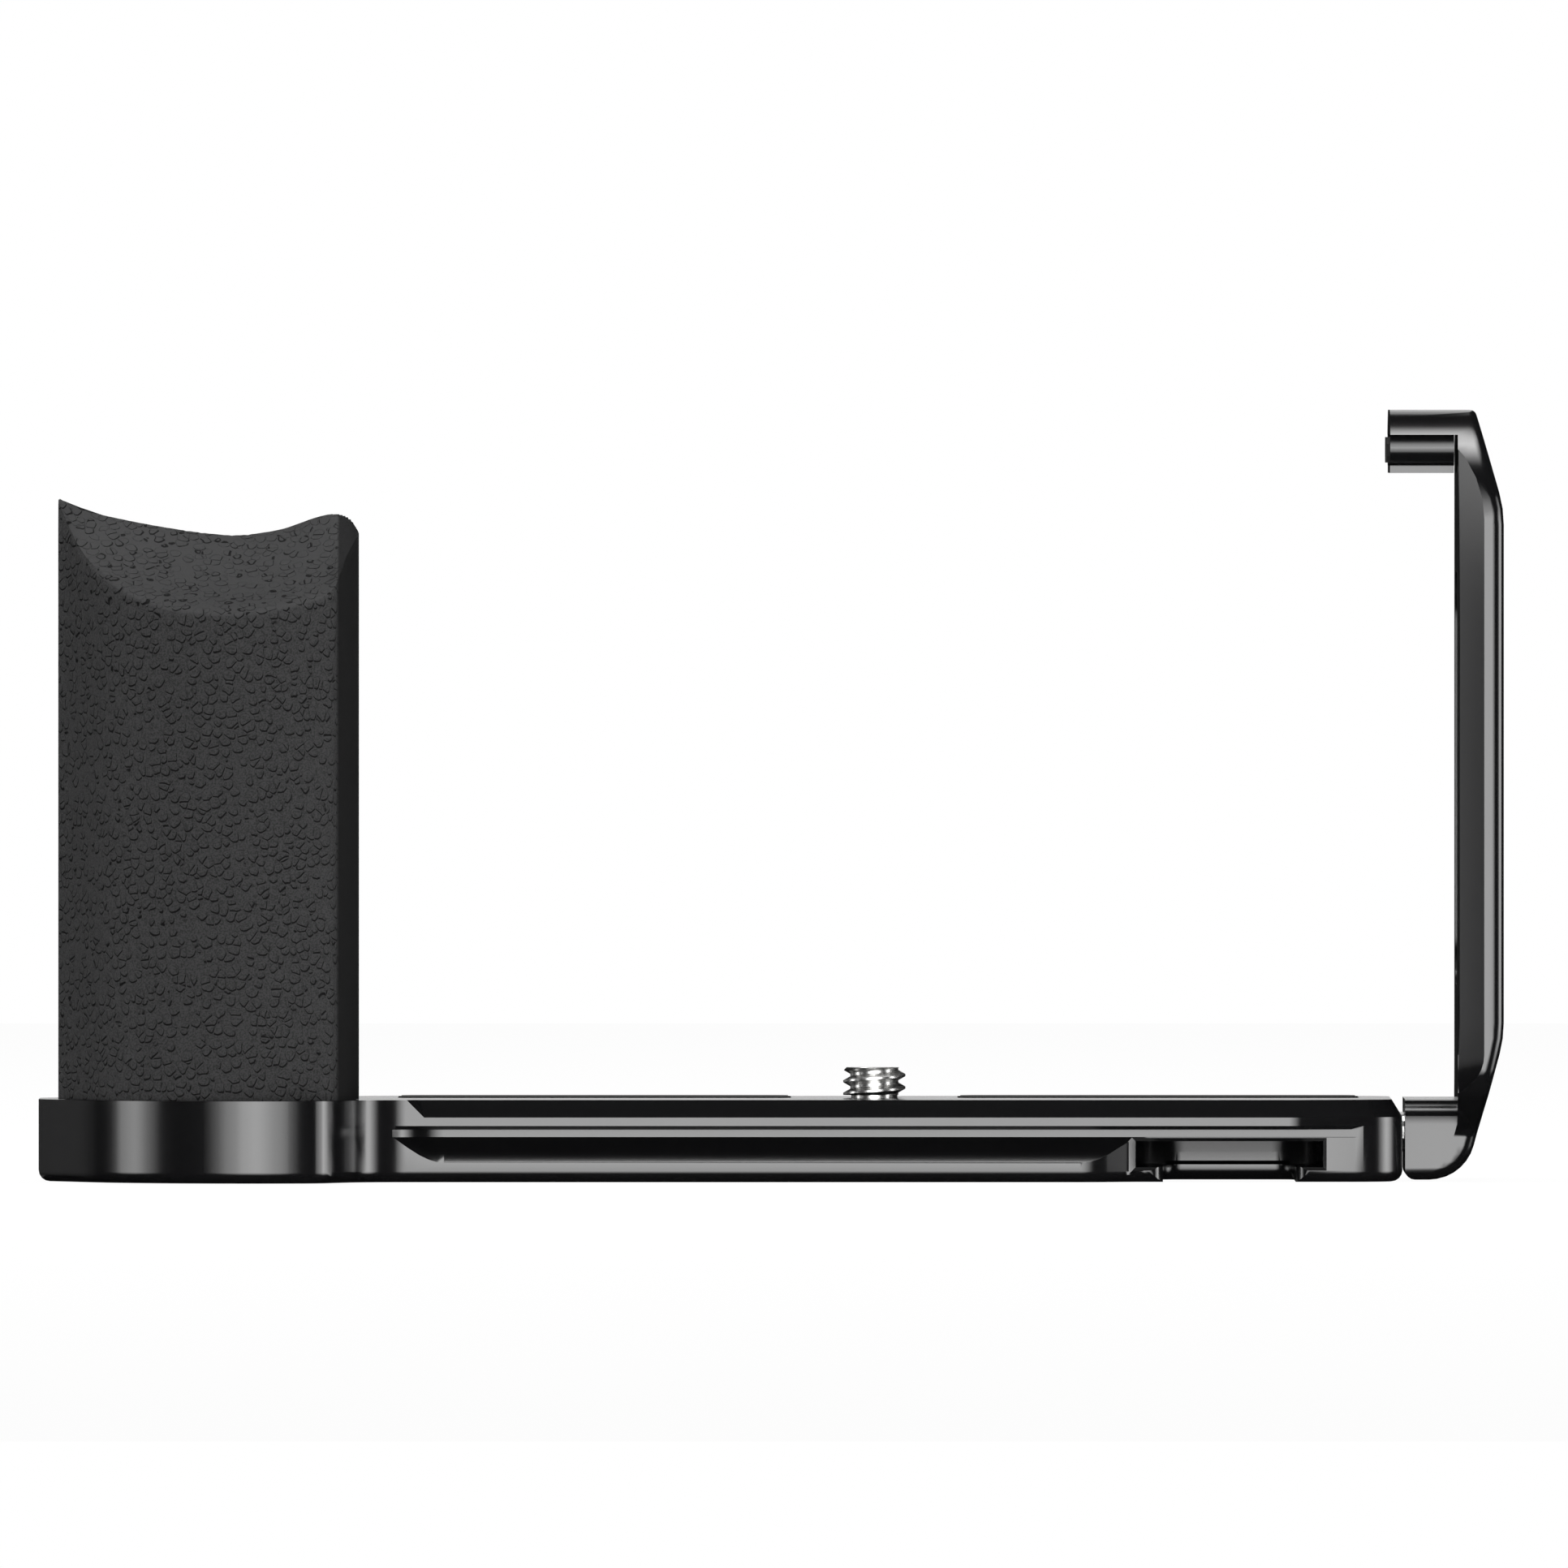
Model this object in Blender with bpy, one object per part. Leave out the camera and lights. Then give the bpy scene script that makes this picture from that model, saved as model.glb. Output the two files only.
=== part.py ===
"""Camera L-bracket with a hand grip, as an assembly of separate pieces.

Lengths are in metres. The bracket rests on z = 0. X runs from the grip to the side plate, with
zero at the middle of the length. Y is zero on the centre line of the dovetail rail, and the grip
and the accessory shoe face -Y. Each piece is built in world coordinates and then given an origin.
"""

import math

import bmesh
import bpy
from mathutils import Matrix, Vector

# Overall size and the clearances between pieces
HALF_LENGTH = 0.07454
SEAM = 0.0003
RUNNING_GAP = 0.00015
OVERRUN = 0.0005
LEAST_RADIUS = 0.00008
LEAST_STEP = 0.00004

# Dovetail rail, the same on the base and on the arm of the side plate
RAIL_HALF_WIDTH = 0.019
LIP_FACE = 0.0020
RAIL_DEPTH = 0.00258
EDGE_FILLET = 0.00115
RAIL_TOOL_RADIUS = 0.00377

# Base plate, from the underside of the deck upwards
WAIST_FACE = 0.00077
UNDERCUT_CHAMFER = 0.00038
DECK_FACE = 0.00085
BAND_RISE = 0.00178
BAND_INSET = 0.0011
BAND_TOOL_RADIUS = 0.00087
RAIL_START_INSET = 0.04132
UNDERCUT_START_INSET = 0.0376
BAND_START_INSET = 0.0393
PLATE_CORNER_RADIUS = 0.005
DECK_BEND_RADIUS = 0.0045
DECK_FACET_DEG = 21.0
CHAMFER_FADE = 0.0008

# Lobe under the grip, and the notch that clears the battery door
LOBE_REACH = 0.0114
LOBE_SLANT_RUN = 0.00959
LOBE_SLANT_FALL = 0.01884
LOBE_WIDTH = 0.02909
LOBE_SIDE_RUN = 0.00449
LOBE_SIDE_RADIUS = 0.00055
LOBE_NOSE_RADIUS = 0.0175
LOBE_HEEL_RADIUS = 0.0054
LOBE_ROOT_RADIUS = 0.00577
NOTCH_LENGTH = 0.0315
NOTCH_DEPTH = 0.014
NOTCH_RADIUS = 0.005
NOTCH_TIP_RADIUS = 0.004

# Accessory shoe cut into the front of the base
SHOE_END_INSET = 0.0081
SHOE_WIDTH = 0.0191
SHOE_SLOT = 0.0135
SHOE_DEPTH = 0.0185
SHOE_CEILING = 0.00415
SHOE_LIP = 0.0015
SHOE_CORNER_RADIUS = 0.0052
SHOE_SLOT_RADIUS = 0.002
SHOE_MOUTH_RADIUS = 0.0015
SHOE_LEAD_IN = 0.0003
LIP_END_RUN = 0.0041
LIP_END_RADIUS = 0.0053
LIP_ROOT_RADIUS = 0.004

# Camera screw with its washer
SCREW_X = 0.01056
THREAD_RADIUS = 0.003175
THREAD_PITCH = 0.00127
THREAD_DEPTH = 0.00065
THREAD_STAND = 0.00314
NECK_RADIUS = 0.00235
NECK_HOLE_RADIUS = 0.0028
HEAD_RADIUS = 0.0065
HEAD_THICKNESS = 0.0021
HEAD_LIFT_OFF = 0.0005
HEAD_CHAMFER = 0.0004
HEAD_BORE_RADIUS = 0.0075
HEAD_BORE_DEPTH = 0.005
WASHER_RADIUS = 0.0058
WASHER_THICKNESS = 0.0005
HEX_RADIUS = 0.0023
HEX_DEPTH = 0.0014

# Anti-slip pads let into the deck
PAD_RECESS = 0.0007
PAD_PROUD = 0.0001
PAD_EDGE_INSET = 0.002
PAD_FRONT_Y = 0.0
PAD_CORNER_RADIUS = 0.002
PAD_LEFT_INSET = 0.0365
PAD_RIGHT_INSET = 0.0043
PAD_SCREW_CLEARANCE = 0.0085

# Guide rods between the base and the side plate
ROD_RADIUS = 0.002
ROD_HEIGHT = 0.0048
ROD_REACH = 0.028
ROD_SEAT = 0.0048
ROD_END_CHAMFER = 0.0003
ROD_WALL = 0.00177
ROD_EDGE_WALL = 0.00127
LOCK_RADIUS = 0.002
LOCK_INSET = 0.004
LOCK_FOOT = 0.0003
LOCK_HEX_RADIUS = 0.00115
LOCK_HEX_DEPTH = 0.0011
GRUB_RADIUS = 0.0015
GRUB_INSET = 0.0045
GRUB_HEX_RADIUS = 0.00085
GRUB_HEX_DEPTH = 0.001

# Side plate: outer contour, side profile, foot and hook
FOOT_LENGTH = 0.00994
FOOT_BASE = 0.00013
FOOT_TOP = 0.0083
FOOT_FRONT = 0.0095
FOOT_REAR = 0.0164
FOOT_TOP_RADIUS = 0.0025
FOOT_EDGE_RADIUS = 0.001
ARM_TOP = 0.07854
ARM_WAIST = 0.00007
TOP_SLANT_RUN = 0.00284
TOP_SLANT_FALL = 0.01004
TOP_CORNER_RADIUS = 0.0007
ARM_BEND_RADIUS = 0.012
LOW_SLANT_RUN = 0.00388
LOW_SLANT_RISE = 0.01447
LOW_CORNER_RADIUS = 0.0047
CROWN_RADIUS = 0.0111
SHOULDER_HEIGHT = 0.0096
SHOULDER_RADIUS = 0.003
SHOULDER_ROOT_HEIGHT = 0.0051
SHOULDER_ROOT_RADIUS = 0.001
REAR_ROOT_HEIGHT = 0.007
ARM_RAIL_START = 0.01295
WINDOW_HALF_WIDTH = 0.010
WINDOW_FOOT = 0.020
WINDOW_HEIGHT = 0.042
WINDOW_RADIUS = 0.005
HOOK_REACH = 0.00686
FLANGE_THICKNESS = 0.00254
HOOK_RELIEF = 0.00035
HOOK_HALF_WIDTH = 0.0139
HOOK_BITE = 0.0005
HOOK_DROP = 0.00315
HOOK_EDGE_RADIUS = 0.00175
HOOK_STEP = 0.00075
HOOK_STEP_HALF_WIDTH = 0.011
HOOK_STEP_RADIUS = 0.0003
HOOK_PAD_HALF_WIDTH = 0.010
HOOK_PAD_THICKNESS = 0.001
HOOK_PAD_PROUD = 0.0003
HOOK_PAD_HEIGHT = 0.0026
HOOK_PAD_DROP = 0.00285
HOOK_PAD_CORNER = 0.0007

# Grip: moulded sleeve over a metal core, with its screws and dowels
GRIP_EDGE_INSET = 0.00204
GRIP_BACK_Y = -0.013
GRIP_FRONT_INSET = 0.0012
GRIP_WIDTH = 0.0306
GRIP_EDGE_THICKNESS = 0.0006
GRIP_NOSE_RADIUS = 0.0163
GRIP_FLAT_END = 0.0220
GRIP_FLAT_RADIUS = 0.012
GRIP_RIGHT_RUN = 0.0021
GRIP_RIGHT_DEPTH = 0.0120
GRIP_RIGHT_RADIUS = 0.0006
GRIP_PEAK = 0.06094
SCOOP_DROP = 0.01145
SCOOP_SAG = 0.0009
RIM_ROUND = 0.0009
GRIP_WALL = 0.003
GRIP_STATION_STEP = 0.0016
CORE_HEIGHT = 0.0464
GRIP_FIX_Y = -0.0205
GRIP_SCREW_LEFT_SHARE = 0.35
GRIP_SCREW_RIGHT_SHARE = 0.745
GRIP_DOWEL_LEFT_SHARE = 0.495
GRIP_DOWEL_RIGHT_SHARE = 0.605
GRIP_SCREW_RADIUS = 0.0015
GRIP_SCREW_HEAD_RADIUS = 0.00275
GRIP_SCREW_HEAD = 0.0024
GRIP_SCREW_SINK = 0.0004
GRIP_SCREW_BITE = 0.0115
GRIP_HEX_RADIUS = 0.0014
GRIP_HEX_DEPTH = 0.0012
DOWEL_RADIUS = 0.00115
DOWEL_SINK = 0.0045
DOWEL_RISE = 0.006

# Height of the grip's top, as shares of the scoop's drop below the peak, at shares of its width
SCOOP_BACK_SHARES = (
    (0.0, 0.0), (0.03, 0.044), (0.073, 0.10), (0.138, 0.144), (0.31, 0.236),
    (0.483, 0.306), (0.591, 0.328), (0.677, 0.306), (0.763, 0.262), (0.85, 0.175),
    (0.914, 0.131), (0.957, 0.157), (0.979, 0.205), (1.0, 0.306),
)
SCOOP_RIM_SHARES = (
    (0.0, 0.03), (0.022, 0.183), (0.068, 0.454), (0.124, 0.646), (0.219, 0.812),
    (0.337, 0.943), (0.497, 1.0), (0.653, 1.0), (0.812, 0.917), (0.914, 0.812),
    (0.957, 0.56), (1.0, 0.32),
)
# Depths of the rows of points across an edge fillet, as shares of its radius
FILLET_SHARES = (0.0, 0.07, 0.29, 0.62, 1.0)
# Where the rows of points down the arm's inner face stand, as a share of its half-width
INNER_EDGE_SHARE = 0.97
# Rows of points across the scoop, from the rim to the back
SCOOP_ROW_SHARES = (0.25, 0.5, 0.75)

# Facets
ARC_STEP_DEG = 11.0
ROUND_SIDES = 32
SMALL_SIDES = 20
THREAD_SIDES = 20
HEX_SIDES = 6

# Sizes that follow from those above
LEFT_END = -HALF_LENGTH
ARM_OUTER = HALF_LENGTH
FOOT_LEFT = ARM_OUTER - FOOT_LENGTH
PLATE_RIGHT = FOOT_LEFT - SEAM
WAIST_Y = RAIL_HALF_WIDTH - RAIL_DEPTH
CEILING = LIP_FACE + RAIL_DEPTH + WAIST_FACE
BAND_FOOT = CEILING + UNDERCUT_CHAMFER + DECK_FACE
DECK_TOP = BAND_FOOT + BAND_RISE
ARM_THICKNESS = LIP_FACE + RAIL_DEPTH + ARM_WAIST
ARM_INNER = ARM_OUTER - ARM_THICKNESS
SHOE_RIGHT = PLATE_RIGHT - SHOE_END_INSET
SHOE_LEFT = SHOE_RIGHT - SHOE_WIDTH
SHOE_MIDDLE = (SHOE_LEFT + SHOE_RIGHT) / 2
ROD_BORE_RADIUS = ROD_RADIUS + RUNNING_GAP
ROD_FRONT_Y = SHOE_DEPTH - WAIST_Y + ROD_WALL + ROD_BORE_RADIUS
ROD_REAR_Y = WAIST_Y - ROD_EDGE_WALL - ROD_BORE_RADIUS
LOBE_FRONT = RAIL_HALF_WIDTH + LOBE_REACH
GRIP_BASE = DECK_TOP + SEAM
GRIP_LEFT = LEFT_END + GRIP_EDGE_INSET
GRIP_RIGHT = GRIP_LEFT + GRIP_WIDTH
FLANGE_UNDER = ARM_TOP - FLANGE_THICKNESS
HOOK_LEFT = ARM_INNER - HOOK_REACH


def clear_scene():
    """Remove whatever the file opened with."""
    for item in list(bpy.data.objects):
        bpy.data.objects.remove(item, do_unlink=True)


def make_material(name, colour, roughness, metallic):
    """Return a Principled material of one plain colour."""
    material = bpy.data.materials.new(name)
    material.use_nodes = True
    shader = material.node_tree.nodes["Principled BSDF"]
    shader.inputs["Base Color"].default_value = (*colour, 1.0)
    shader.inputs["Roughness"].default_value = roughness
    shader.inputs["Metallic"].default_value = metallic
    material.diffuse_color = (*colour, 1.0)
    return material


def corner_points(before, here, after, inset):
    """Round one corner of a path, after moving its edges to the left by the inset.

    Each corner is (a, b, radius). The count of points depends only on the turn, so paths with
    unlike insets have matching points.
    """
    point = Vector(here[:2])
    way_in = (point - Vector(before[:2])).normalized()
    way_out = (Vector(after[:2]) - point).normalized()
    left_in = Vector((-way_in.y, way_in.x))
    left_out = Vector((-way_out.y, way_out.x))
    point = point + (left_in + left_out) * (inset / (1 + left_in.dot(left_out)))
    turn = math.atan2(way_in.cross(way_out), way_in.dot(way_out))
    if here[2] <= 0 or abs(math.degrees(turn)) < 1:
        return [point]
    radius = max(here[2] - math.copysign(inset, turn), LEAST_RADIUS)
    tangent = radius * math.tan(abs(turn) / 2)
    steps = max(2, round(abs(math.degrees(turn)) / ARC_STEP_DEG))
    side = math.copysign(radius, turn)
    start = point - way_in * tangent
    centre = start + left_in * side
    arm = start - centre
    return [
        centre + Matrix.Rotation(turn * step / steps, 2) @ arm
        for step in range(steps + 1)
    ]


def rounded_outline(corners, inset=0.0):
    """Return the points of a closed outline with rounded corners, moved inwards by the inset."""
    count = len(corners)
    points = []
    for index, here in enumerate(corners):
        before = corners[index - 1]
        after = corners[(index + 1) % count]
        points += corner_points(before, here, after, inset)
    return points


def rounded_path(corners):
    """Return the points of an open path whose inner corners are rounded."""
    points = [Vector(corners[0][:2])]
    for index in range(1, len(corners) - 1):
        points += corner_points(corners[index - 1], corners[index], corners[index + 1], 0.0)
    points.append(Vector(corners[-1][:2]))
    return points


def bridge(loops, closed=False):
    """Join loops of equal length into one closed body and return it as a bmesh."""
    shape = bmesh.new()
    rings = [[shape.verts.new(point) for point in loop] for loop in loops]
    size = len(rings[0])
    pairs = list(zip(rings, rings[1:]))
    if closed:
        pairs.append((rings[-1], rings[0]))
    for lower, upper in pairs:
        for index in range(size):
            after = (index + 1) % size
            shape.faces.new((lower[index], lower[after], upper[after], upper[index]))
    if not closed:
        shape.faces.new(list(reversed(rings[0])))
        shape.faces.new(rings[-1])
    bmesh.ops.remove_doubles(shape, verts=shape.verts, dist=LEAST_STEP / 4)
    bmesh.ops.dissolve_degenerate(shape, edges=shape.edges, dist=LEAST_STEP / 8)
    bmesh.ops.triangulate(shape, faces=shape.faces)
    bmesh.ops.recalc_face_normals(shape, faces=shape.faces)
    return shape


def stack(levels):
    """Loft outlines, each given as (points, height), into one upright body."""
    return bridge([[(p.x, p.y, height) for p in points] for points, height in levels])


def prism(points, low, high):
    """Raise one outline from a low level to a high one."""
    return stack([(points, low), (points, high)])


def turned(profile, x, y, sides):
    """Turn a profile of (radius, height) pairs, given from the bottom up, about a vertical axis."""
    loops = []
    for radius, height in profile:
        loops.append([
            (
                x + radius * math.cos(math.tau * step / sides),
                y + radius * math.sin(math.tau * step / sides),
                height,
            )
            for step in range(sides)
        ])
    return bridge(loops)


def laid_rod(profile, y, z, sides):
    """Turn a profile of (radius, x) pairs about an axis that runs along X."""
    loops = []
    for radius, x in profile:
        loops.append([
            (
                x,
                y + radius * math.cos(math.tau * step / sides),
                z + radius * math.sin(math.tau * step / sides),
            )
            for step in range(sides)
        ])
    return bridge(loops)


def place(name, shape, material, origin=(0.0, 0.0, 0.0), parent=None):
    """Make an object from a bmesh in world coordinates, with its origin where it is wanted."""
    origin = Vector(origin)
    bmesh.ops.translate(shape, verts=shape.verts, vec=-origin)
    mesh = bpy.data.meshes.new(name)
    shape.to_mesh(mesh)
    shape.free()
    item = bpy.data.objects.new(name, mesh)
    bpy.context.scene.collection.objects.link(item)
    if parent is not None:
        item.parent = parent
        origin = origin - parent.location
    item.location = origin
    if material is not None:
        mesh.materials.append(material)
    mesh.shade_smooth()
    mesh.set_sharp_from_angle(angle=math.radians(30))
    return item


def combine(item, shape, operation):
    """Add or cut a shape with a Boolean that stays on the object."""
    name = f"{item.name}_{operation.lower()}_{len(item.modifiers)}"
    other = place(name, shape, None)
    other.hide_render = True
    other.display_type = "WIRE"
    boolean = item.modifiers.new(name, "BOOLEAN")
    boolean.operation = operation
    boolean.solver = "EXACT"
    boolean.object = other


def cut(item, shape):
    """Cut a shape out of an object."""
    combine(item, shape, "DIFFERENCE")


def add(item, shape):
    """Join a shape to an object."""
    combine(item, shape, "UNION")


def make_pivot(name, location, parent=None):
    """Make the empty that a moving piece turns or slides about."""
    pivot = bpy.data.objects.new(name, None)
    bpy.context.scene.collection.objects.link(pivot)
    pivot.empty_display_size = HALF_LENGTH / 10
    pivot.location = Vector(location)
    if parent is not None:
        pivot.parent = parent
        pivot.location = Vector(location) - parent.location
    return pivot


def lobe_corners():
    """Corners shared by the lower body and the deck, from the left end round to the lobe's root."""
    front = -LOBE_FRONT
    left = LEFT_END
    right = LEFT_END + LOBE_WIDTH
    return [
        (left, front + LOBE_SLANT_FALL, LOBE_SIDE_RADIUS),
        (left + LOBE_SLANT_RUN, front, LOBE_NOSE_RADIUS),
        (right, front, LOBE_HEEL_RADIUS),
        (right + LOBE_SIDE_RUN, -RAIL_HALF_WIDTH, LOBE_ROOT_RADIUS),
    ]


def rear_corners():
    """Corners shared along the back, from the right end to the notch at the left."""
    back = RAIL_HALF_WIDTH
    notch = LEFT_END + NOTCH_LENGTH
    return [
        (PLATE_RIGHT, back, PLATE_CORNER_RADIUS),
        (notch, back, PLATE_CORNER_RADIUS),
        (notch, back - NOTCH_DEPTH, NOTCH_RADIUS),
        (LEFT_END, back - NOTCH_DEPTH, NOTCH_TIP_RADIUS),
    ]


def lower_corners():
    """Outline of the lower body: the lip ends in an S-curve and the shoe's block stands behind."""
    return (
        lobe_corners()
        + [
            (SHOE_LEFT - LIP_END_RUN, -RAIL_HALF_WIDTH, LIP_END_RADIUS),
            (SHOE_LEFT, -WAIST_Y - LEAST_STEP, LIP_ROOT_RADIUS),
            (PLATE_RIGHT, -WAIST_Y - LEAST_STEP, PLATE_CORNER_RADIUS),
        ]
        + rear_corners()
    )


def deck_corners():
    """Outline of the deck, whose front bends back to meet the lower body's right corner."""
    angle = math.radians(DECK_FACET_DEG)
    corner_x = PLATE_RIGHT - PLATE_CORNER_RADIUS
    corner_y = PLATE_CORNER_RADIUS - WAIST_Y
    drop = corner_y + RAIL_HALF_WIDTH
    bend = corner_x + (PLATE_CORNER_RADIUS - drop * math.cos(angle)) / math.sin(angle)
    end_y = (PLATE_RIGHT - bend) * math.tan(angle) - RAIL_HALF_WIDTH
    fade = corner_x + PLATE_CORNER_RADIUS * math.sin(angle) - CHAMFER_FADE
    return (
        lobe_corners()
        + [
            (LEFT_END + UNDERCUT_START_INSET, -RAIL_HALF_WIDTH, 0.0),
            (LEFT_END + BAND_START_INSET, -RAIL_HALF_WIDTH, 0.0),
            (bend, -RAIL_HALF_WIDTH, DECK_BEND_RADIUS),
            (fade, (fade - bend) * math.tan(angle) - RAIL_HALF_WIDTH, 0.0),
            (PLATE_RIGHT, end_y, PLATE_CORNER_RADIUS),
        ]
        + rear_corners()[:1]
        + [(LEFT_END + BAND_START_INSET, RAIL_HALF_WIDTH, 0.0)]
        + rear_corners()[1:]
    )


# Places in the list of deck corners
UNDERCUT_CORNER = 4
BAND_CORNER = 5
FADE_CORNER = 7
BAND_LAST_CORNER = 10


def deck_level(under, over):
    """Points of the deck's outline at one level, with the insets of its two chamfers.

    The lower chamfer runs along the front only. The upper one runs round the right end, and a
    small round tool leaves a run-out where it starts and where it stops.
    """
    corners = deck_corners()
    points = []
    for index, here in enumerate(corners):
        inset = 0.0
        if UNDERCUT_CORNER <= index <= FADE_CORNER:
            inset = under
        if BAND_CORNER <= index <= BAND_LAST_CORNER:
            inset = max(inset, over)
        after = corners[(index + 1) % len(corners)]
        found = corner_points(corners[index - 1], here, after, inset)
        if index == BAND_CORNER:
            found = run_out(here, -1, over, found[0])
        if index == BAND_LAST_CORNER:
            found = list(reversed(run_out(here, 1, over, found[0])))
        points += found
    return points


def run_out(corner, side, over, last):
    """Points along the round end of the upper chamfer, from the plate's face to its full depth."""
    steps = len(FILLET_SHARES)
    if over <= 0:
        return [last] * (steps + 1)
    radius = BAND_TOOL_RADIUS + over
    widest = math.acos(BAND_TOOL_RADIUS / radius)
    axis_y = side * (RAIL_HALF_WIDTH + BAND_TOOL_RADIUS)
    points = []
    for step in range(steps):
        angle = widest * (1 - step / steps)
        points.append(Vector((
            corner[0] - radius * math.sin(angle), axis_y - side * radius * math.cos(angle)
        )))
    return points + [last]


def rail_tool(start, end, side, to_world):
    """Cut for one side of a dovetail rail, with the round run-out that the tool leaves.

    The tool travels along a, stands off along b and its axis is h, measured from the rail's face.
    """
    high = CEILING
    profile = (
        (-OVERRUN, LIP_FACE - OVERRUN),
        (RAIL_DEPTH, LIP_FACE + RAIL_DEPTH),
        (RAIL_DEPTH, high),
        (-OVERRUN, high),
    )
    return swept_tool(profile, start, end, side, RAIL_TOOL_RADIUS, to_world)


def swept_tool(profile, start, end, side, radius, to_world):
    """Sweep a profile of (depth, height) pairs from a round run-out to a straight end."""
    axis_b = side * (RAIL_HALF_WIDTH + radius)
    steps = round(90 / ARC_STEP_DEG)
    loops = []
    for step in range(steps + 1):
        angle = math.radians(180 - 90 * step / steps)
        loops.append([
            to_world(
                start + (radius + depth) * math.cos(angle),
                axis_b - side * (radius + depth) * math.sin(angle),
                height,
            )
            for depth, height in profile
        ])
    loops.append([
        to_world(end, axis_b - side * (radius + depth), height) for depth, height in profile
    ])
    return bridge(loops)


def shoe_channel_cut():
    """Cut for the wide part of the shoe, with a small lead-in at its mouth."""
    back = SHOE_DEPTH - WAIST_Y
    mouth = -WAIST_Y
    loops = []
    for grow, low, high in (
        (0.0, SHOE_LIP, SHOE_CEILING),
    ):
        corners = [
            (SHOE_LEFT - grow, mouth - RAIL_DEPTH, 0.0),
            (SHOE_RIGHT + grow, mouth - RAIL_DEPTH, 0.0),
            (SHOE_RIGHT + grow, back, SHOE_CORNER_RADIUS),
            (SHOE_LEFT - grow, back, SHOE_CORNER_RADIUS),
        ]
        outline = rounded_outline(corners)
        loops.append((outline, low))
        loops.append((outline, high))
    return stack(loops)


def shoe_lead_in_cut():
    """Cut for the lead-in chamfer round the mouth of the shoe's channel."""
    loops = []
    for grow, y in ((SHOE_LEAD_IN + OVERRUN, -WAIST_Y - OVERRUN), (0.0, -WAIST_Y + SHOE_LEAD_IN)):
        loops.append([
            (SHOE_LEFT - grow, y, SHOE_LIP - grow),
            (SHOE_RIGHT + grow, y, SHOE_LIP - grow),
            (SHOE_RIGHT + grow, y, SHOE_CEILING + grow),
            (SHOE_LEFT - grow, y, SHOE_CEILING + grow),
        ])
    return bridge(loops)


def shoe_slot_cut():
    """Cut for the narrow part of the shoe, between its two lips, down through the underside."""
    back = SHOE_DEPTH - WAIST_Y
    mouth = -WAIST_Y
    half = SHOE_SLOT / 2
    flare = SHOE_MOUTH_RADIUS + OVERRUN
    corners = [
        (SHOE_MIDDLE - half - flare, mouth - RAIL_DEPTH, 0.0),
        (SHOE_MIDDLE + half + flare, mouth - RAIL_DEPTH, 0.0),
        (SHOE_MIDDLE + half + flare, mouth - OVERRUN / 10, 0.0),
        (SHOE_MIDDLE + half, mouth, SHOE_MOUTH_RADIUS),
        (SHOE_MIDDLE + half, back, SHOE_SLOT_RADIUS),
        (SHOE_MIDDLE - half, back, SHOE_SLOT_RADIUS),
        (SHOE_MIDDLE - half, mouth, SHOE_MOUTH_RADIUS),
        (SHOE_MIDDLE - half - flare, mouth - OVERRUN / 10, 0.0),
    ]
    return prism(rounded_outline(corners), -OVERRUN, (SHOE_LIP + SHOE_CEILING) / 2)


def pad_outline(left, right, inset):
    """Outline of one anti-slip pad."""
    back = RAIL_HALF_WIDTH - PAD_EDGE_INSET
    corners = [
        (left, PAD_FRONT_Y, PAD_CORNER_RADIUS),
        (right, PAD_FRONT_Y, PAD_CORNER_RADIUS),
        (right, back, PAD_CORNER_RADIUS),
        (left, back, PAD_CORNER_RADIUS),
    ]
    return rounded_outline(corners, inset)


def pad_spans():
    """Left and right ends of the two pads, on either side of the camera screw."""
    return {
        "deck_pad_left": (LEFT_END + PAD_LEFT_INSET, SCREW_X - PAD_SCREW_CLEARANCE),
        "deck_pad_right": (SCREW_X + PAD_SCREW_CLEARANCE, PLATE_RIGHT - PAD_RIGHT_INSET),
    }


def fixing_places():
    """Positions along X of the grip's screws and dowels."""
    screws = {
        "grip_screw_left": GRIP_LEFT + GRIP_SCREW_LEFT_SHARE * GRIP_WIDTH,
        "grip_screw_right": GRIP_LEFT + GRIP_SCREW_RIGHT_SHARE * GRIP_WIDTH,
    }
    dowels = {
        "grip_dowel_left": GRIP_LEFT + GRIP_DOWEL_LEFT_SHARE * GRIP_WIDTH,
        "grip_dowel_right": GRIP_LEFT + GRIP_DOWEL_RIGHT_SHARE * GRIP_WIDTH,
    }
    return screws, dowels


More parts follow.
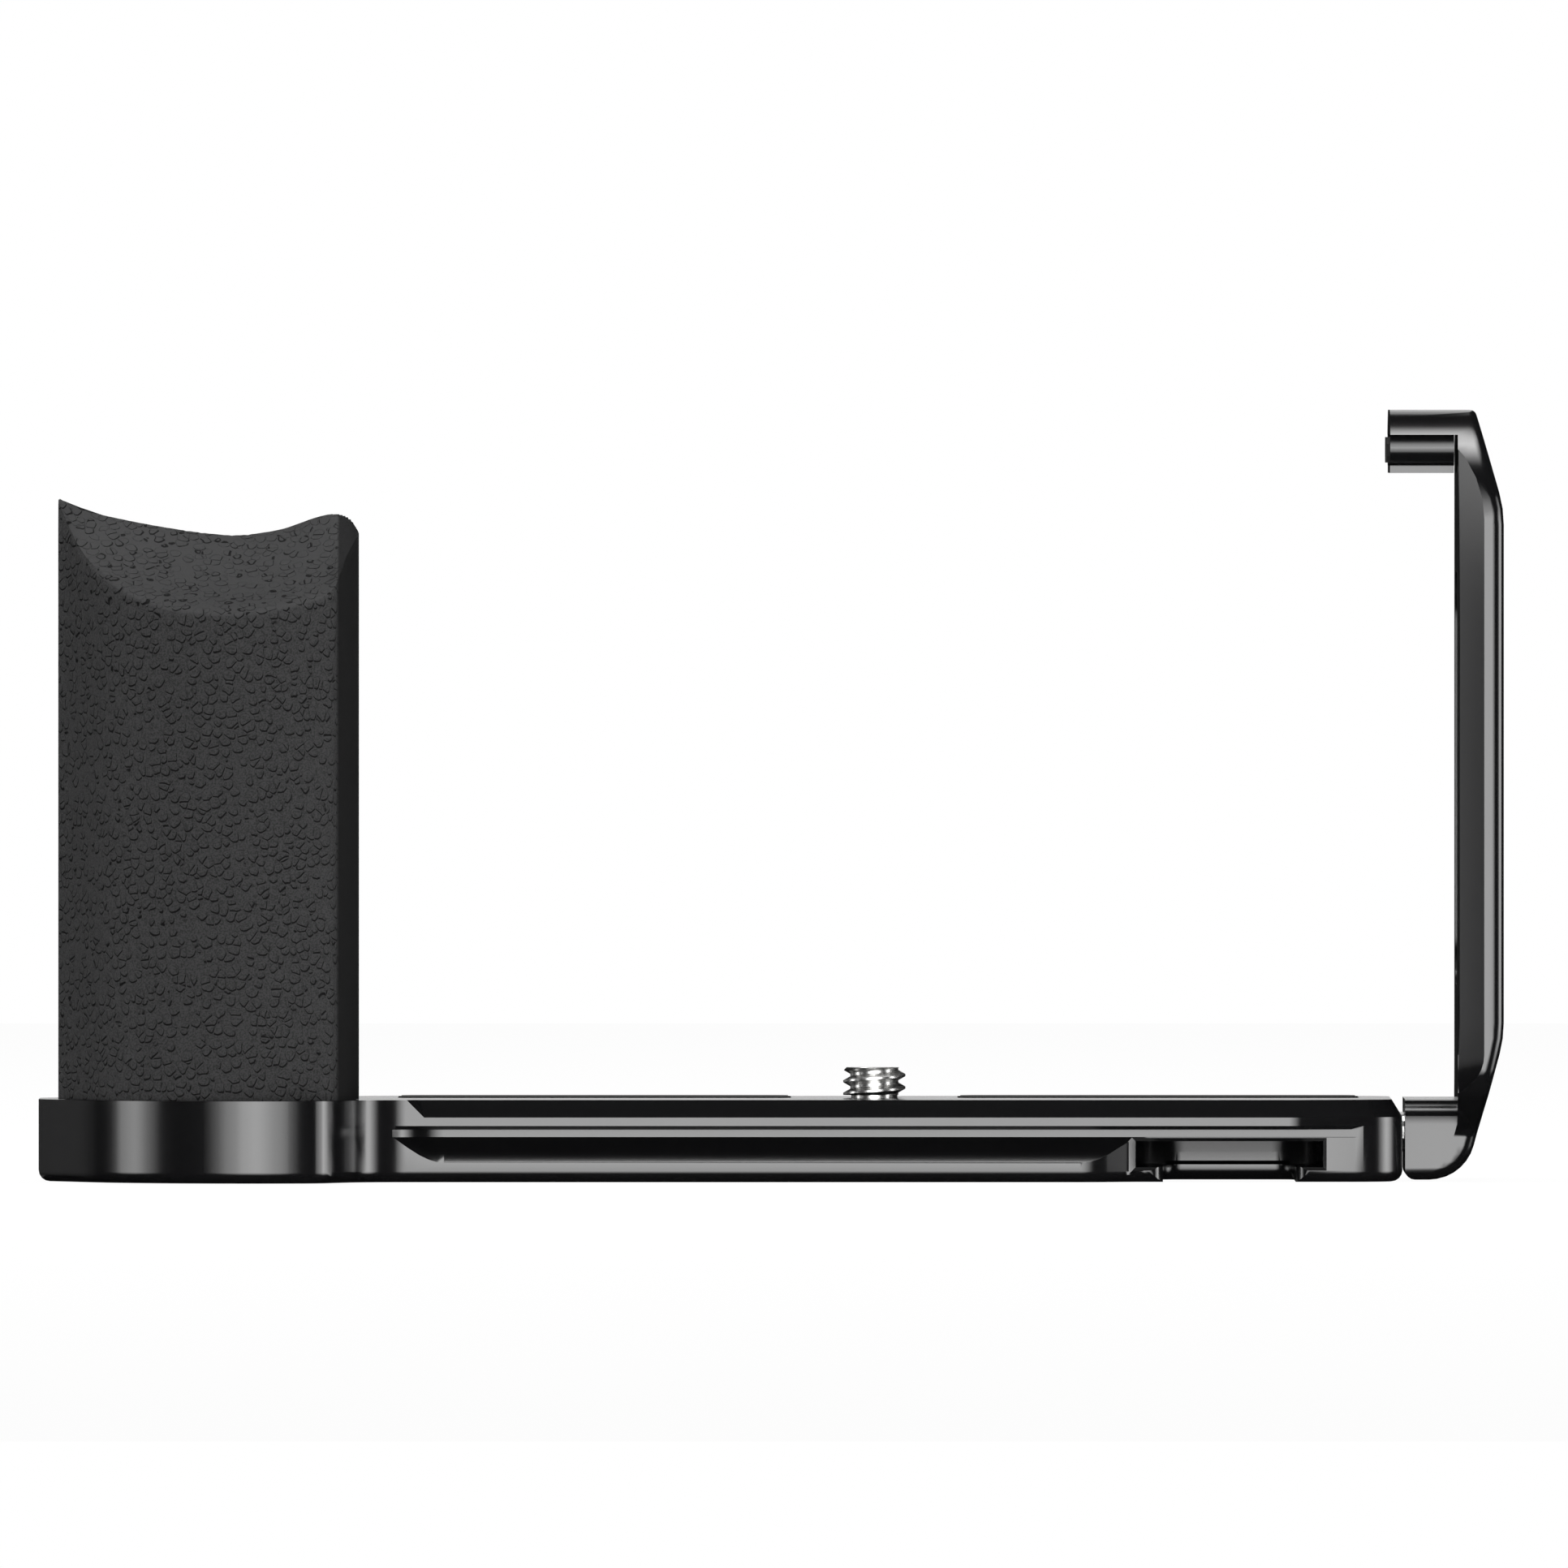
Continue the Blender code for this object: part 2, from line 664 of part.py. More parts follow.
def make_base(material):
    """Milled base plate: lower body, deck, rails, shoe and every bore."""
    lower = lower_corners()
    levels = []
    for share in FILLET_SHARES:
        rise = EDGE_FILLET * share
        inset = EDGE_FILLET - math.sqrt(EDGE_FILLET**2 - (EDGE_FILLET - rise) ** 2)
        levels.append((rounded_outline(lower, inset), rise))
    levels.append((rounded_outline(lower), CEILING + OVERRUN))
    base = place("base_plate", stack(levels), material)
    deck = [
        (deck_level(UNDERCUT_CHAMFER, 0.0), CEILING),
        (deck_level(0.0, 0.0), CEILING + UNDERCUT_CHAMFER),
        (deck_level(0.0, 0.0), BAND_FOOT),
        (deck_level(0.0, BAND_INSET), DECK_TOP),
    ]
    add(base, stack(deck))

    def upright(a, b, h):
        return (a, b, h)

    start = LEFT_END + RAIL_START_INSET
    end = PLATE_RIGHT + RAIL_DEPTH
    cut(base, rail_tool(start, end, -1, upright))
    cut(base, rail_tool(start, end, 1, upright))
    cut(base, shoe_channel_cut())
    cut(base, shoe_lead_in_cut())
    cut(base, shoe_slot_cut())
    for left, right in pad_spans().values():
        cut(base, prism(pad_outline(left, right, 0.0), DECK_TOP - PAD_RECESS, DECK_TOP + OVERRUN))
    bore = (
        (HEAD_BORE_RADIUS, -OVERRUN),
        (HEAD_BORE_RADIUS, HEAD_BORE_DEPTH),
        (NECK_HOLE_RADIUS, HEAD_BORE_DEPTH),
        (NECK_HOLE_RADIUS, DECK_TOP + OVERRUN),
    )
    cut(base, turned(bore, SCREW_X, 0.0, ROUND_SIDES))
    for y in (ROD_FRONT_Y, ROD_REAR_Y):
        reach = PLATE_RIGHT - ROD_REACH - SEAM
        profile = ((ROD_BORE_RADIUS, reach), (ROD_BORE_RADIUS, PLATE_RIGHT + OVERRUN))
        cut(base, laid_rod(profile, y, ROD_HEIGHT, SMALL_SIDES))
        radius = LOCK_RADIUS + RUNNING_GAP
        profile = ((radius, -OVERRUN), (radius, ROD_HEIGHT))
        cut(base, turned(profile, PLATE_RIGHT - LOCK_INSET, y, SMALL_SIDES))
    screws, dowels = fixing_places()
    for x in screws.values():
        head = GRIP_SCREW_HEAD_RADIUS + SEAM
        shank = GRIP_SCREW_RADIUS + SEAM
        seat = GRIP_SCREW_SINK + GRIP_SCREW_HEAD + SEAM
        profile = ((head, -OVERRUN), (head, seat), (shank, seat), (shank, DECK_TOP + OVERRUN))
        cut(base, turned(profile, x, GRIP_FIX_Y, SMALL_SIDES))
    for x in dowels.values():
        radius = DOWEL_RADIUS + SEAM
        profile = ((radius, DECK_TOP - DOWEL_SINK - SEAM), (radius, DECK_TOP + OVERRUN))
        cut(base, turned(profile, x, GRIP_FIX_Y, SMALL_SIDES))
    return base


def make_pads(material):
    """Two thin anti-slip pads that lie in the deck."""
    for name, (left, right) in pad_spans().items():
        outline = pad_outline(left, right, SEAM)
        low = DECK_TOP - PAD_RECESS + SEAM
        origin = ((left + right) / 2, PAD_FRONT_Y, low)
        place(name, prism(outline, low, DECK_TOP + PAD_PROUD), material, origin)


def thread_shape():
    """Screw thread made as a stack of rings whose radius follows the helix round each ring."""
    low = DECK_TOP + SEAM
    high = low + THREAD_STAND - SEAM
    rings = round((high - low) / THREAD_PITCH * 8)
    loops = []
    for ring in range(rings + 1):
        height = low + (high - low) * ring / rings
        loop = []
        for step in range(THREAD_SIDES):
            turn = step / THREAD_SIDES
            wave = ((height - low) / THREAD_PITCH - turn) % 1.0
            crest = abs(2 * wave - 1)
            edge = min(height - low, high - height) / (THREAD_PITCH / 2)
            depth = THREAD_DEPTH * max(1 - crest, 1 - min(edge, 1.0))
            radius = THREAD_RADIUS - depth
            angle = math.tau * turn
            loop.append((
                SCREW_X + radius * math.cos(angle), radius * math.sin(angle), height
            ))
        loops.append(loop)
    return loops


def hex_socket(x, y, radius, low, depth):
    """Cut for a hexagon socket that opens downwards."""
    return turned(((radius, low - OVERRUN), (radius, low + depth)), x, y, HEX_SIDES)


def make_camera_screw(steel, parent):
    """Captive camera screw: head with a hexagon socket, neck and threaded end."""
    top = HEAD_LIFT_OFF + HEAD_THICKNESS
    profile = (
        (HEAD_RADIUS - HEAD_CHAMFER, HEAD_LIFT_OFF),
        (HEAD_RADIUS, HEAD_LIFT_OFF + HEAD_CHAMFER),
        (HEAD_RADIUS, top - HEAD_CHAMFER),
        (HEAD_RADIUS - HEAD_CHAMFER, top),
        (NECK_RADIUS, top),
        (NECK_RADIUS, DECK_TOP + SEAM),
    )
    loops = []
    for radius, height in profile:
        loops.append([
            (
                SCREW_X + radius * math.cos(math.tau * step / THREAD_SIDES),
                radius * math.sin(math.tau * step / THREAD_SIDES),
                height,
            )
            for step in range(THREAD_SIDES)
        ])
    shape = bridge(loops + thread_shape())
    screw = place("camera_screw", shape, steel, (SCREW_X, 0.0, top), parent)
    cut(screw, hex_socket(SCREW_X, 0.0, HEX_RADIUS, HEAD_LIFT_OFF, HEX_DEPTH))


def make_washer(steel, parent):
    """Flat washer round the screw's neck, over its head."""
    low = HEAD_LIFT_OFF + HEAD_THICKNESS + SEAM
    loops = []
    inner = NECK_RADIUS + SEAM
    for radius, height in (
        (inner, low),
        (WASHER_RADIUS, low),
        (WASHER_RADIUS, low + WASHER_THICKNESS),
        (inner, low + WASHER_THICKNESS),
    ):
        loops.append([
            (
                SCREW_X + radius * math.cos(math.tau * step / ROUND_SIDES),
                radius * math.sin(math.tau * step / ROUND_SIDES),
                height,
            )
            for step in range(ROUND_SIDES)
        ])
    place("screw_washer", bridge(loops, closed=True), steel, (SCREW_X, 0.0, low), parent)


def make_rods(steel, parent):
    """Guide rods fixed in the foot of the side plate, and the screws that act on them."""
    for end, y in (("front", ROD_FRONT_Y), ("rear", ROD_REAR_Y)):
        left = PLATE_RIGHT - ROD_REACH
        right = FOOT_LEFT + ROD_SEAT
        profile = (
            (ROD_RADIUS - ROD_END_CHAMFER, left),
            (ROD_RADIUS, left + ROD_END_CHAMFER),
            (ROD_RADIUS, right - ROD_END_CHAMFER),
            (ROD_RADIUS - ROD_END_CHAMFER, right),
        )
        shape = laid_rod(profile, y, ROD_HEIGHT, SMALL_SIDES)
        place(f"guide_rod_{end}", shape, steel, (FOOT_LEFT, y, ROD_HEIGHT), parent)
        x = PLATE_RIGHT - LOCK_INSET
        top = ROD_HEIGHT - ROD_RADIUS - SEAM
        make_set_screw(
            f"lock_screw_{end}", steel, x, y, LOCK_FOOT, top,
            (LOCK_RADIUS, LOCK_HEX_RADIUS, LOCK_HEX_DEPTH), None,
        )
        make_set_screw(
            f"rod_grub_{end}", steel, FOOT_LEFT + GRUB_INSET, y, FOOT_BASE + LOCK_FOOT, top,
            (GRUB_RADIUS, GRUB_HEX_RADIUS, GRUB_HEX_DEPTH), parent,
        )


def make_set_screw(name, steel, x, y, low, top, sizes, parent):
    """Headless socket screw that stands upright, with its socket underneath."""
    radius, hex_radius, hex_depth = sizes
    bevel = ROD_END_CHAMFER
    profile = (
        (radius - bevel, low),
        (radius, low + bevel),
        (radius, top - bevel),
        (radius - bevel, top),
    )
    screw = place(name, turned(profile, x, y, SMALL_SIDES), steel, (x, y, low), parent)
    cut(screw, hex_socket(x, y, hex_radius, low, hex_depth))


def contour_corners():
    """Outer contour of the side plate in X and Z, from the underside up and over the hook."""
    return [
        (FOOT_LEFT, FOOT_BASE, 0.0),
        (ARM_OUTER - LOW_SLANT_RUN, FOOT_BASE, LOW_CORNER_RADIUS),
        (ARM_OUTER, FOOT_BASE + LOW_SLANT_RISE, ARM_BEND_RADIUS),
        (ARM_OUTER, ARM_TOP - TOP_SLANT_FALL, ARM_BEND_RADIUS),
        (ARM_OUTER - TOP_SLANT_RUN, ARM_TOP, TOP_CORNER_RADIUS),
        (HOOK_LEFT, ARM_TOP, 0.0),
    ]


def side_corners(foot, root):
    """Half of the side profile in Y and Z, from the foot up to the crown."""
    return [
        (foot, -SHOULDER_ROOT_RADIUS, 0.0),
        (foot, root, SHOULDER_ROOT_RADIUS),
        (RAIL_HALF_WIDTH, SHOULDER_HEIGHT, SHOULDER_RADIUS),
        (RAIL_HALF_WIDTH, ARM_TOP, CROWN_RADIUS),
        (0.0, ARM_TOP, 0.0),
    ]


def reach_at(path, height):
    """Return the first coordinate of a rising path at a height, and how steeply it changes."""
    for low, high in zip(path, path[1:]):
        rise = high.y - low.y
        if rise > LEAST_STEP / 100 and low.y - LEAST_STEP / 100 <= height <= high.y:
            share = (height - low.y) / rise
            return low.x + (high.x - low.x) * share, (high.x - low.x) / rise
    return path[-2].x, -1 / LEAST_STEP


def nearest_on(path, x, z):
    """Return the distance from a point to a path, and the upward part of the path's normal."""
    best = None
    for low, high in zip(path, path[1:]):
        edge = high - low
        share = (Vector((x, z)) - low).dot(edge) / edge.length_squared
        foot = low + edge * min(max(share, 0.0), 1.0)
        gap = (Vector((x, z)) - foot).length
        if best is None or gap < best[0]:
            best = (gap, -edge.x / edge.length)
    return best


def eased_reach(side, contour, x, z):
    """Half-width at a point of the side plate, less the fillet along its outer contour."""
    reach, change = reach_at(side, z)
    gap, upward = nearest_on(contour, x, z)
    if gap >= EDGE_FILLET:
        return reach
    side_upward = -change / math.hypot(1, change)
    blend = 1 - max(0.0, upward * side_upward)
    fillet = EDGE_FILLET - math.sqrt(max(EDGE_FILLET**2 - (EDGE_FILLET - gap) ** 2, 0.0))
    return reach - fillet * blend


def foot_reach(width, z, rounded):
    """Half-width of the foot's block, whose front top edge is rounded."""
    over = z - (FOOT_TOP - FOOT_TOP_RADIUS)
    if not rounded or over <= 0:
        return width
    return width - FOOT_TOP_RADIUS + math.sqrt(max(FOOT_TOP_RADIUS**2 - over**2, 0.0))


def slice_heights(contour, sides):
    """Heights of the slices, where the contour, the profiles, the foot or a fillet changes."""
    heights = {FOOT_BASE + EDGE_FILLET * share for share in FILLET_SHARES}
    heights |= {point.y for path in [contour, *sides] for point in path}
    heights |= {FOOT_BASE + FOOT_EDGE_RADIUS * share for share in FILLET_SHARES}
    heights |= {FOOT_TOP - FOOT_TOP_RADIUS * share for share in FILLET_SHARES}
    heights |= {FOOT_TOP, FLANGE_UNDER}
    kept = []
    for height in sorted(heights):
        inside = FOOT_BASE <= height <= ARM_TOP
        fixed = height in (FOOT_BASE, FOOT_TOP, FLANGE_UNDER, ARM_TOP)
        if inside and kept and fixed and height - kept[-1] < LEAST_STEP and kept[-1] > FOOT_BASE:
            kept.pop()
        if inside and (not kept or height - kept[-1] >= LEAST_STEP):
            kept.append(height)
    return kept


def make_side_plate(material, parent):
    """Side plate: foot, dovetail arm and hook, lofted as level slices, then cut."""
    contour = rounded_path(contour_corners())
    front = rounded_path(side_corners(FOOT_FRONT, SHOULDER_ROOT_HEIGHT))
    rear = rounded_path(side_corners(FOOT_REAR, REAR_ROOT_HEIGHT))
    rising = contour[1:-1]
    loops = []
    for z in slice_heights(contour, (front, rear)):
        kinds = ["arm"]
        if z <= FOOT_TOP:
            kinds = ["foot"]
        if z == FOOT_TOP:
            kinds = ["foot", "arm"]
        if z == FLANGE_UNDER:
            kinds = ["arm", "flange"]
        if z > FLANGE_UNDER:
            kinds = ["flange"]
        for kind in kinds:
            loops.append(side_slice(contour, rising, front, rear, z, kind))
    item = place("side_plate", bridge(loops), material, (FOOT_LEFT, 0.0, 0.0), parent)

    add(item, hook_block())

    def sideways(a, b, h):
        return (ARM_OUTER - h, b, a)

    for side in (-1, 1):
        cut(item, rail_tool(ARM_RAIL_START, ARM_TOP + RAIL_DEPTH, side, sideways))
    cut(item, window_cut())
    cut(item, hook_pocket_cut())
    for y in (ROD_FRONT_Y, ROD_REAR_Y):
        profile = ((ROD_BORE_RADIUS, FOOT_LEFT - OVERRUN), (ROD_BORE_RADIUS, FOOT_LEFT + ROD_SEAT + SEAM))
        cut(item, laid_rod(profile, y, ROD_HEIGHT, SMALL_SIDES))
        radius = GRUB_RADIUS + RUNNING_GAP
        profile = ((radius, FOOT_BASE - OVERRUN), (radius, ROD_HEIGHT))
        cut(item, turned(profile, FOOT_LEFT + GRUB_INSET, y, SMALL_SIDES))
    return item


def side_slice(contour, rising, front, rear, z, kind):
    """One level slice of the side plate, from the outer face to the inner end and back."""
    outer, _ = reach_at(rising, z)
    left = ARM_INNER
    inner = ARM_INNER
    if kind == "flange":
        left = HOOK_LEFT
    if kind == "foot":
        low = z - FOOT_BASE
        left = FOOT_LEFT
        if low < FOOT_EDGE_RADIUS:
            left += FOOT_EDGE_RADIUS - math.sqrt(
                FOOT_EDGE_RADIUS**2 - (FOOT_EDGE_RADIUS - low) ** 2
            )
        inner = min(ARM_INNER, max(outer - 2 * EDGE_FILLET, (outer + left) / 2))
    places = [max(outer - EDGE_FILLET * share, inner) for share in FILLET_SHARES]
    places += [(places[-1] + inner) / 2, inner]
    points = [
        (x, eased_reach(front, contour, x, z), eased_reach(rear, contour, x, z)) for x in places
    ]
    for share in (0.0, 0.5, 1.0):
        x = inner + (left - inner) * share
        if kind == "flange":
            points.append((x, eased_reach(front, contour, x, z), eased_reach(rear, contour, x, z)))
            continue
        fillet = 0.0
        gap, _ = nearest_on(contour, x, z)
        if gap < EDGE_FILLET:
            fillet = EDGE_FILLET - math.sqrt(EDGE_FILLET**2 - (EDGE_FILLET - gap) ** 2)
        level = min(z, FOOT_TOP)
        _, width, back = points[6]
        if kind == "arm":
            width *= INNER_EDGE_SHARE
            back *= INNER_EDGE_SHARE
        width = min(foot_reach(FOOT_FRONT, level, True) - fillet, width)
        back = min(foot_reach(FOOT_REAR, level, False) - fillet, back)
        points.append((x, width, back))
    loop = [(x, -width, z) for x, width, _ in points]
    return loop + [(x, back, z) for x, _, back in reversed(points)]


def hook_block():
    """Lower part of the hook, set back from its flange and parted from the arm by a thin slot."""
    low = FLANGE_UNDER - HOOK_DROP
    half = HOOK_HALF_WIDTH
    step = HOOK_STEP_HALF_WIDTH
    corners = [
        (step, low - HOOK_STEP, HOOK_STEP_RADIUS),
        (step, low, HOOK_STEP_RADIUS),
        (half, low, HOOK_EDGE_RADIUS),
        (half, FLANGE_UNDER + HOOK_BITE, 0.0),
        (-half, FLANGE_UNDER + HOOK_BITE, 0.0),
        (-half, low, HOOK_EDGE_RADIUS),
        (-step, low, HOOK_STEP_RADIUS),
        (-step, low - HOOK_STEP, HOOK_STEP_RADIUS),
    ]
    outline = rounded_outline(corners)
    ends = (HOOK_LEFT, ARM_INNER - HOOK_RELIEF)
    return bridge([[(x, p.x, p.y) for p in outline] for x in ends])


def hook_pad_outline(inset):
    """Outline of the pad in the hook's end, in Y and Z, with cut-off corners."""
    low = FLANGE_UNDER - HOOK_PAD_DROP + inset
    high = low + HOOK_PAD_HEIGHT - 2 * inset
    half = HOOK_PAD_HALF_WIDTH - inset
    corner = HOOK_PAD_CORNER
    return [
        (-half + corner, low), (half - corner, low), (half, low + corner), (half, high - corner),
        (half - corner, high), (-half + corner, high), (-half, high - corner), (-half, low + corner),
    ]


def hook_pocket_cut():
    """Cut for the pocket that holds the hook's pad."""
    ends = (HOOK_LEFT - OVERRUN, HOOK_LEFT + HOOK_PAD_THICKNESS - HOOK_PAD_PROUD + SEAM)
    return bridge([[(x, y, z) for y, z in hook_pad_outline(-SEAM)] for x in ends])


def make_hook_pad(material, parent):
    """Rubber pad that stands a little proud of the hook's end."""
    left = HOOK_LEFT - HOOK_PAD_PROUD
    ends = (left, left + HOOK_PAD_THICKNESS)
    shape = bridge([[(x, y, z) for y, z in hook_pad_outline(0.0)] for x in ends])
    place("hook_pad", shape, material, (left, 0.0, FLANGE_UNDER), parent)


def window_cut():
    """Cut for the opening through the arm, in front of the camera's sockets."""
    half = WINDOW_HALF_WIDTH
    low = WINDOW_FOOT
    high = WINDOW_FOOT + WINDOW_HEIGHT
    corners = [
        (-half, low, WINDOW_RADIUS),
        (half, low, WINDOW_RADIUS),
        (half, high, WINDOW_RADIUS),
        (-half, high, WINDOW_RADIUS),
    ]
    outline = rounded_outline(corners)
    ends = (ARM_INNER - OVERRUN, ARM_OUTER + OVERRUN)
    return bridge([[(x, p.x, p.y) for p in outline] for x in ends])


def grip_corners():
    """Outline of the grip seen from above, from the back left round the nose to the back right."""
    slant = math.hypot(LOBE_SLANT_RUN, LOBE_SLANT_FALL)
    front = -LOBE_FRONT + GRIP_FRONT_INSET
    fall = GRIP_BACK_Y - front
    nose = GRIP_LEFT + fall * LOBE_SLANT_RUN / LOBE_SLANT_FALL
    assert slant > 0
    return [
        (GRIP_LEFT, GRIP_BACK_Y, 0.0),
        (nose, front, GRIP_NOSE_RADIUS),
        (GRIP_LEFT + GRIP_FLAT_END, front, GRIP_FLAT_RADIUS),
        (GRIP_RIGHT - GRIP_RIGHT_RUN, GRIP_BACK_Y - GRIP_RIGHT_DEPTH, GRIP_RIGHT_RADIUS),
        (GRIP_RIGHT, GRIP_BACK_Y, 0.0),
    ]


def eased(shares, at):
    """Read a smooth curve through a table of shares."""
    count = len(shares)
    for index in range(count - 1):
        low, high = shares[index], shares[index + 1]
        if at <= high[0] or index == count - 2:
            before = shares[max(index - 1, 0)]
            after = shares[min(index + 2, count - 1)]
            span = high[0] - low[0]
            rise_low = (high[1] - before[1]) / (high[0] - before[0]) * span
            rise_high = (after[1] - low[1]) / (after[0] - low[0]) * span
            t = min(max((at - low[0]) / span, 0.0), 1.0)
            return (
                (2 * t**3 - 3 * t**2 + 1) * low[1]
                + (t**3 - 2 * t**2 + t) * rise_low
                + (3 * t**2 - 2 * t**3) * high[1]
                + (t**3 - t**2) * rise_high
            )
    return shares[-1][1]


def grip_stations():
    """Points at even steps along the grip's outline."""
    path = rounded_path(grip_corners())
    lengths = [0.0]
    for low, high in zip(path, path[1:]):
        lengths.append(lengths[-1] + (high - low).length)
    count = round(lengths[-1] / GRIP_STATION_STEP)
    points = []
    for step in range(count + 1):
        wanted = lengths[-1] * step / count
        index = max(i for i in range(len(path) - 1) if lengths[i] <= wanted)
        share = (wanted - lengths[index]) / (lengths[index + 1] - lengths[index])
        points.append(path[index].lerp(path[index + 1], min(share, 1.0)))
    return points


def make_sleeve(material):
    """Moulded grip sleeve with its finger scoop, lofted from left to right, hollow for the core."""
    peak = GRIP_BASE + GRIP_PEAK
    loops = []
    for point in grip_stations():
        x = min(max(point.x, GRIP_LEFT), GRIP_RIGHT)
        share = (x - GRIP_LEFT) / GRIP_WIDTH
        y = min(point.y, GRIP_BACK_Y - GRIP_EDGE_THICKNESS)
        back = peak - SCOOP_DROP * eased(SCOOP_BACK_SHARES, share)
        rim = peak - SCOOP_DROP * eased(SCOOP_RIM_SHARES, share)
        rim = min(rim, back - SCOOP_DROP / 60)
        depth = GRIP_BACK_Y - y
        soft = min(RIM_ROUND, depth / 4)
        drop = min(RIM_ROUND, (back - rim) / 2)
        loop = [(x, y, GRIP_BASE), (x, y, rim - drop)]
        loop.append((x, y + soft * 0.3, rim - drop * 0.3))
        for row in (0.1, *SCOOP_ROW_SHARES):
            sag = SCOOP_SAG * 4 * row * (1 - row) * min(depth / GRIP_WALL / 4, 1.0)
            sag = min(sag, (back - rim) / 2)
            loop.append((x, y + depth * row, rim + (back - rim) * row - sag))
        loop += [(x, GRIP_BACK_Y, back), (x, GRIP_BACK_Y, GRIP_BASE)]
        loops.append(loop)
    sleeve = place("grip_sleeve", bridge(loops), material, (GRIP_LEFT, GRIP_BACK_Y, GRIP_BASE))
    outline = rounded_outline(grip_corners(), GRIP_WALL)
    top = GRIP_BASE + CORE_HEIGHT + SEAM
    cut(sleeve, prism(outline, GRIP_BASE - OVERRUN, top))


def make_core(material):
    """Metal core of the grip, bored from below for its screws and dowels."""
    outline = rounded_outline(grip_corners(), GRIP_WALL + SEAM)
    shape = prism(outline, GRIP_BASE, GRIP_BASE + CORE_HEIGHT)
    core = place("grip_core", shape, material, (GRIP_LEFT, GRIP_BACK_Y, GRIP_BASE))
    screws, dowels = fixing_places()
    for x in screws.values():
        radius = GRIP_SCREW_RADIUS + SEAM
        profile = ((radius, GRIP_BASE - OVERRUN), (radius, GRIP_BASE + GRIP_SCREW_BITE + SEAM))
        cut(core, turned(profile, x, GRIP_FIX_Y, SMALL_SIDES))
    for x in dowels.values():
        radius = DOWEL_RADIUS + SEAM
        profile = ((radius, GRIP_BASE - OVERRUN), (radius, GRIP_BASE + DOWEL_RISE + SEAM))
        cut(core, turned(profile, x, GRIP_FIX_Y, SMALL_SIDES))


def make_grip_fixings(steel):
    """Socket screws and dowels that hold the grip's core on the lobe."""
    screws, dowels = fixing_places()
    for name, x in screws.items():
        top = GRIP_SCREW_SINK + GRIP_SCREW_HEAD
        tip = GRIP_BASE + GRIP_SCREW_BITE
        profile = (
            (GRIP_SCREW_HEAD_RADIUS - ROD_END_CHAMFER, GRIP_SCREW_SINK),
            (GRIP_SCREW_HEAD_RADIUS, GRIP_SCREW_SINK + ROD_END_CHAMFER),
            (GRIP_SCREW_HEAD_RADIUS, top),
            (GRIP_SCREW_RADIUS, top),
            (GRIP_SCREW_RADIUS, tip - ROD_END_CHAMFER),
            (GRIP_SCREW_RADIUS - ROD_END_CHAMFER, tip),
        )
        shape = turned(profile, x, GRIP_FIX_Y, SMALL_SIDES)
        screw = place(name, shape, steel, (x, GRIP_FIX_Y, GRIP_SCREW_SINK))
        cut(screw, hex_socket(x, GRIP_FIX_Y, GRIP_HEX_RADIUS, GRIP_SCREW_SINK, GRIP_HEX_DEPTH))
    for name, x in dowels.items():
        low = DECK_TOP - DOWEL_SINK
        top = GRIP_BASE + DOWEL_RISE
        profile = (
            (DOWEL_RADIUS - ROD_END_CHAMFER, low),
            (DOWEL_RADIUS, low + ROD_END_CHAMFER),
            (DOWEL_RADIUS, top - ROD_END_CHAMFER),
            (DOWEL_RADIUS - ROD_END_CHAMFER, top),
        )
        place(name, turned(profile, x, GRIP_FIX_Y, SMALL_SIDES), steel, (x, GRIP_FIX_Y, low))


def main():
    """Build every piece of the bracket."""
    clear_scene()
    anodised = make_material("black_anodised", (0.012, 0.012, 0.013), 0.36, 0.9)
    steel = make_material("bright_steel", (0.62, 0.62, 0.60), 0.25, 1.0)
    dark_steel = make_material("black_steel", (0.03, 0.03, 0.03), 0.4, 0.9)
    rubber = make_material("grip_rubber", (0.028, 0.028, 0.028), 0.75, 0.0)
    pad = make_material("pad_rubber", (0.02, 0.02, 0.02), 0.85, 0.0)

    slide = make_pivot("side_plate_slide", (FOOT_LEFT, 0.0, ROD_HEIGHT))
    lift = make_pivot("camera_screw_lift", (SCREW_X, 0.0, HEAD_LIFT_OFF + HEAD_THICKNESS))

    make_base(anodised)
    make_pads(pad)
    make_camera_screw(steel, lift)
    make_washer(dark_steel, lift)
    make_side_plate(anodised, slide)
    make_hook_pad(pad, slide)
    make_rods(dark_steel, slide)
    make_sleeve(rubber)
    make_core(anodised)
    make_grip_fixings(dark_steel)


main()
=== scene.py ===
"""Camera L-bracket with a moulded hand grip: its finished look and its studio.

Lengths are in metres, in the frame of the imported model: X runs from the grip to the side plate,
-Y faces the front, +Z is up, and zero height is the bracket's underside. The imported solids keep
their places. The two plates, the grip's skin, the camera screw and the foot's set screws get
pieces of their own that stand for them, and every other solid gets its finish.
"""

from __future__ import annotations

import logging
import math
from dataclasses import dataclass
from enum import Enum
from typing import Any, Iterable, Sequence, Union

import bmesh
import bpy
from mathutils import Matrix, Vector

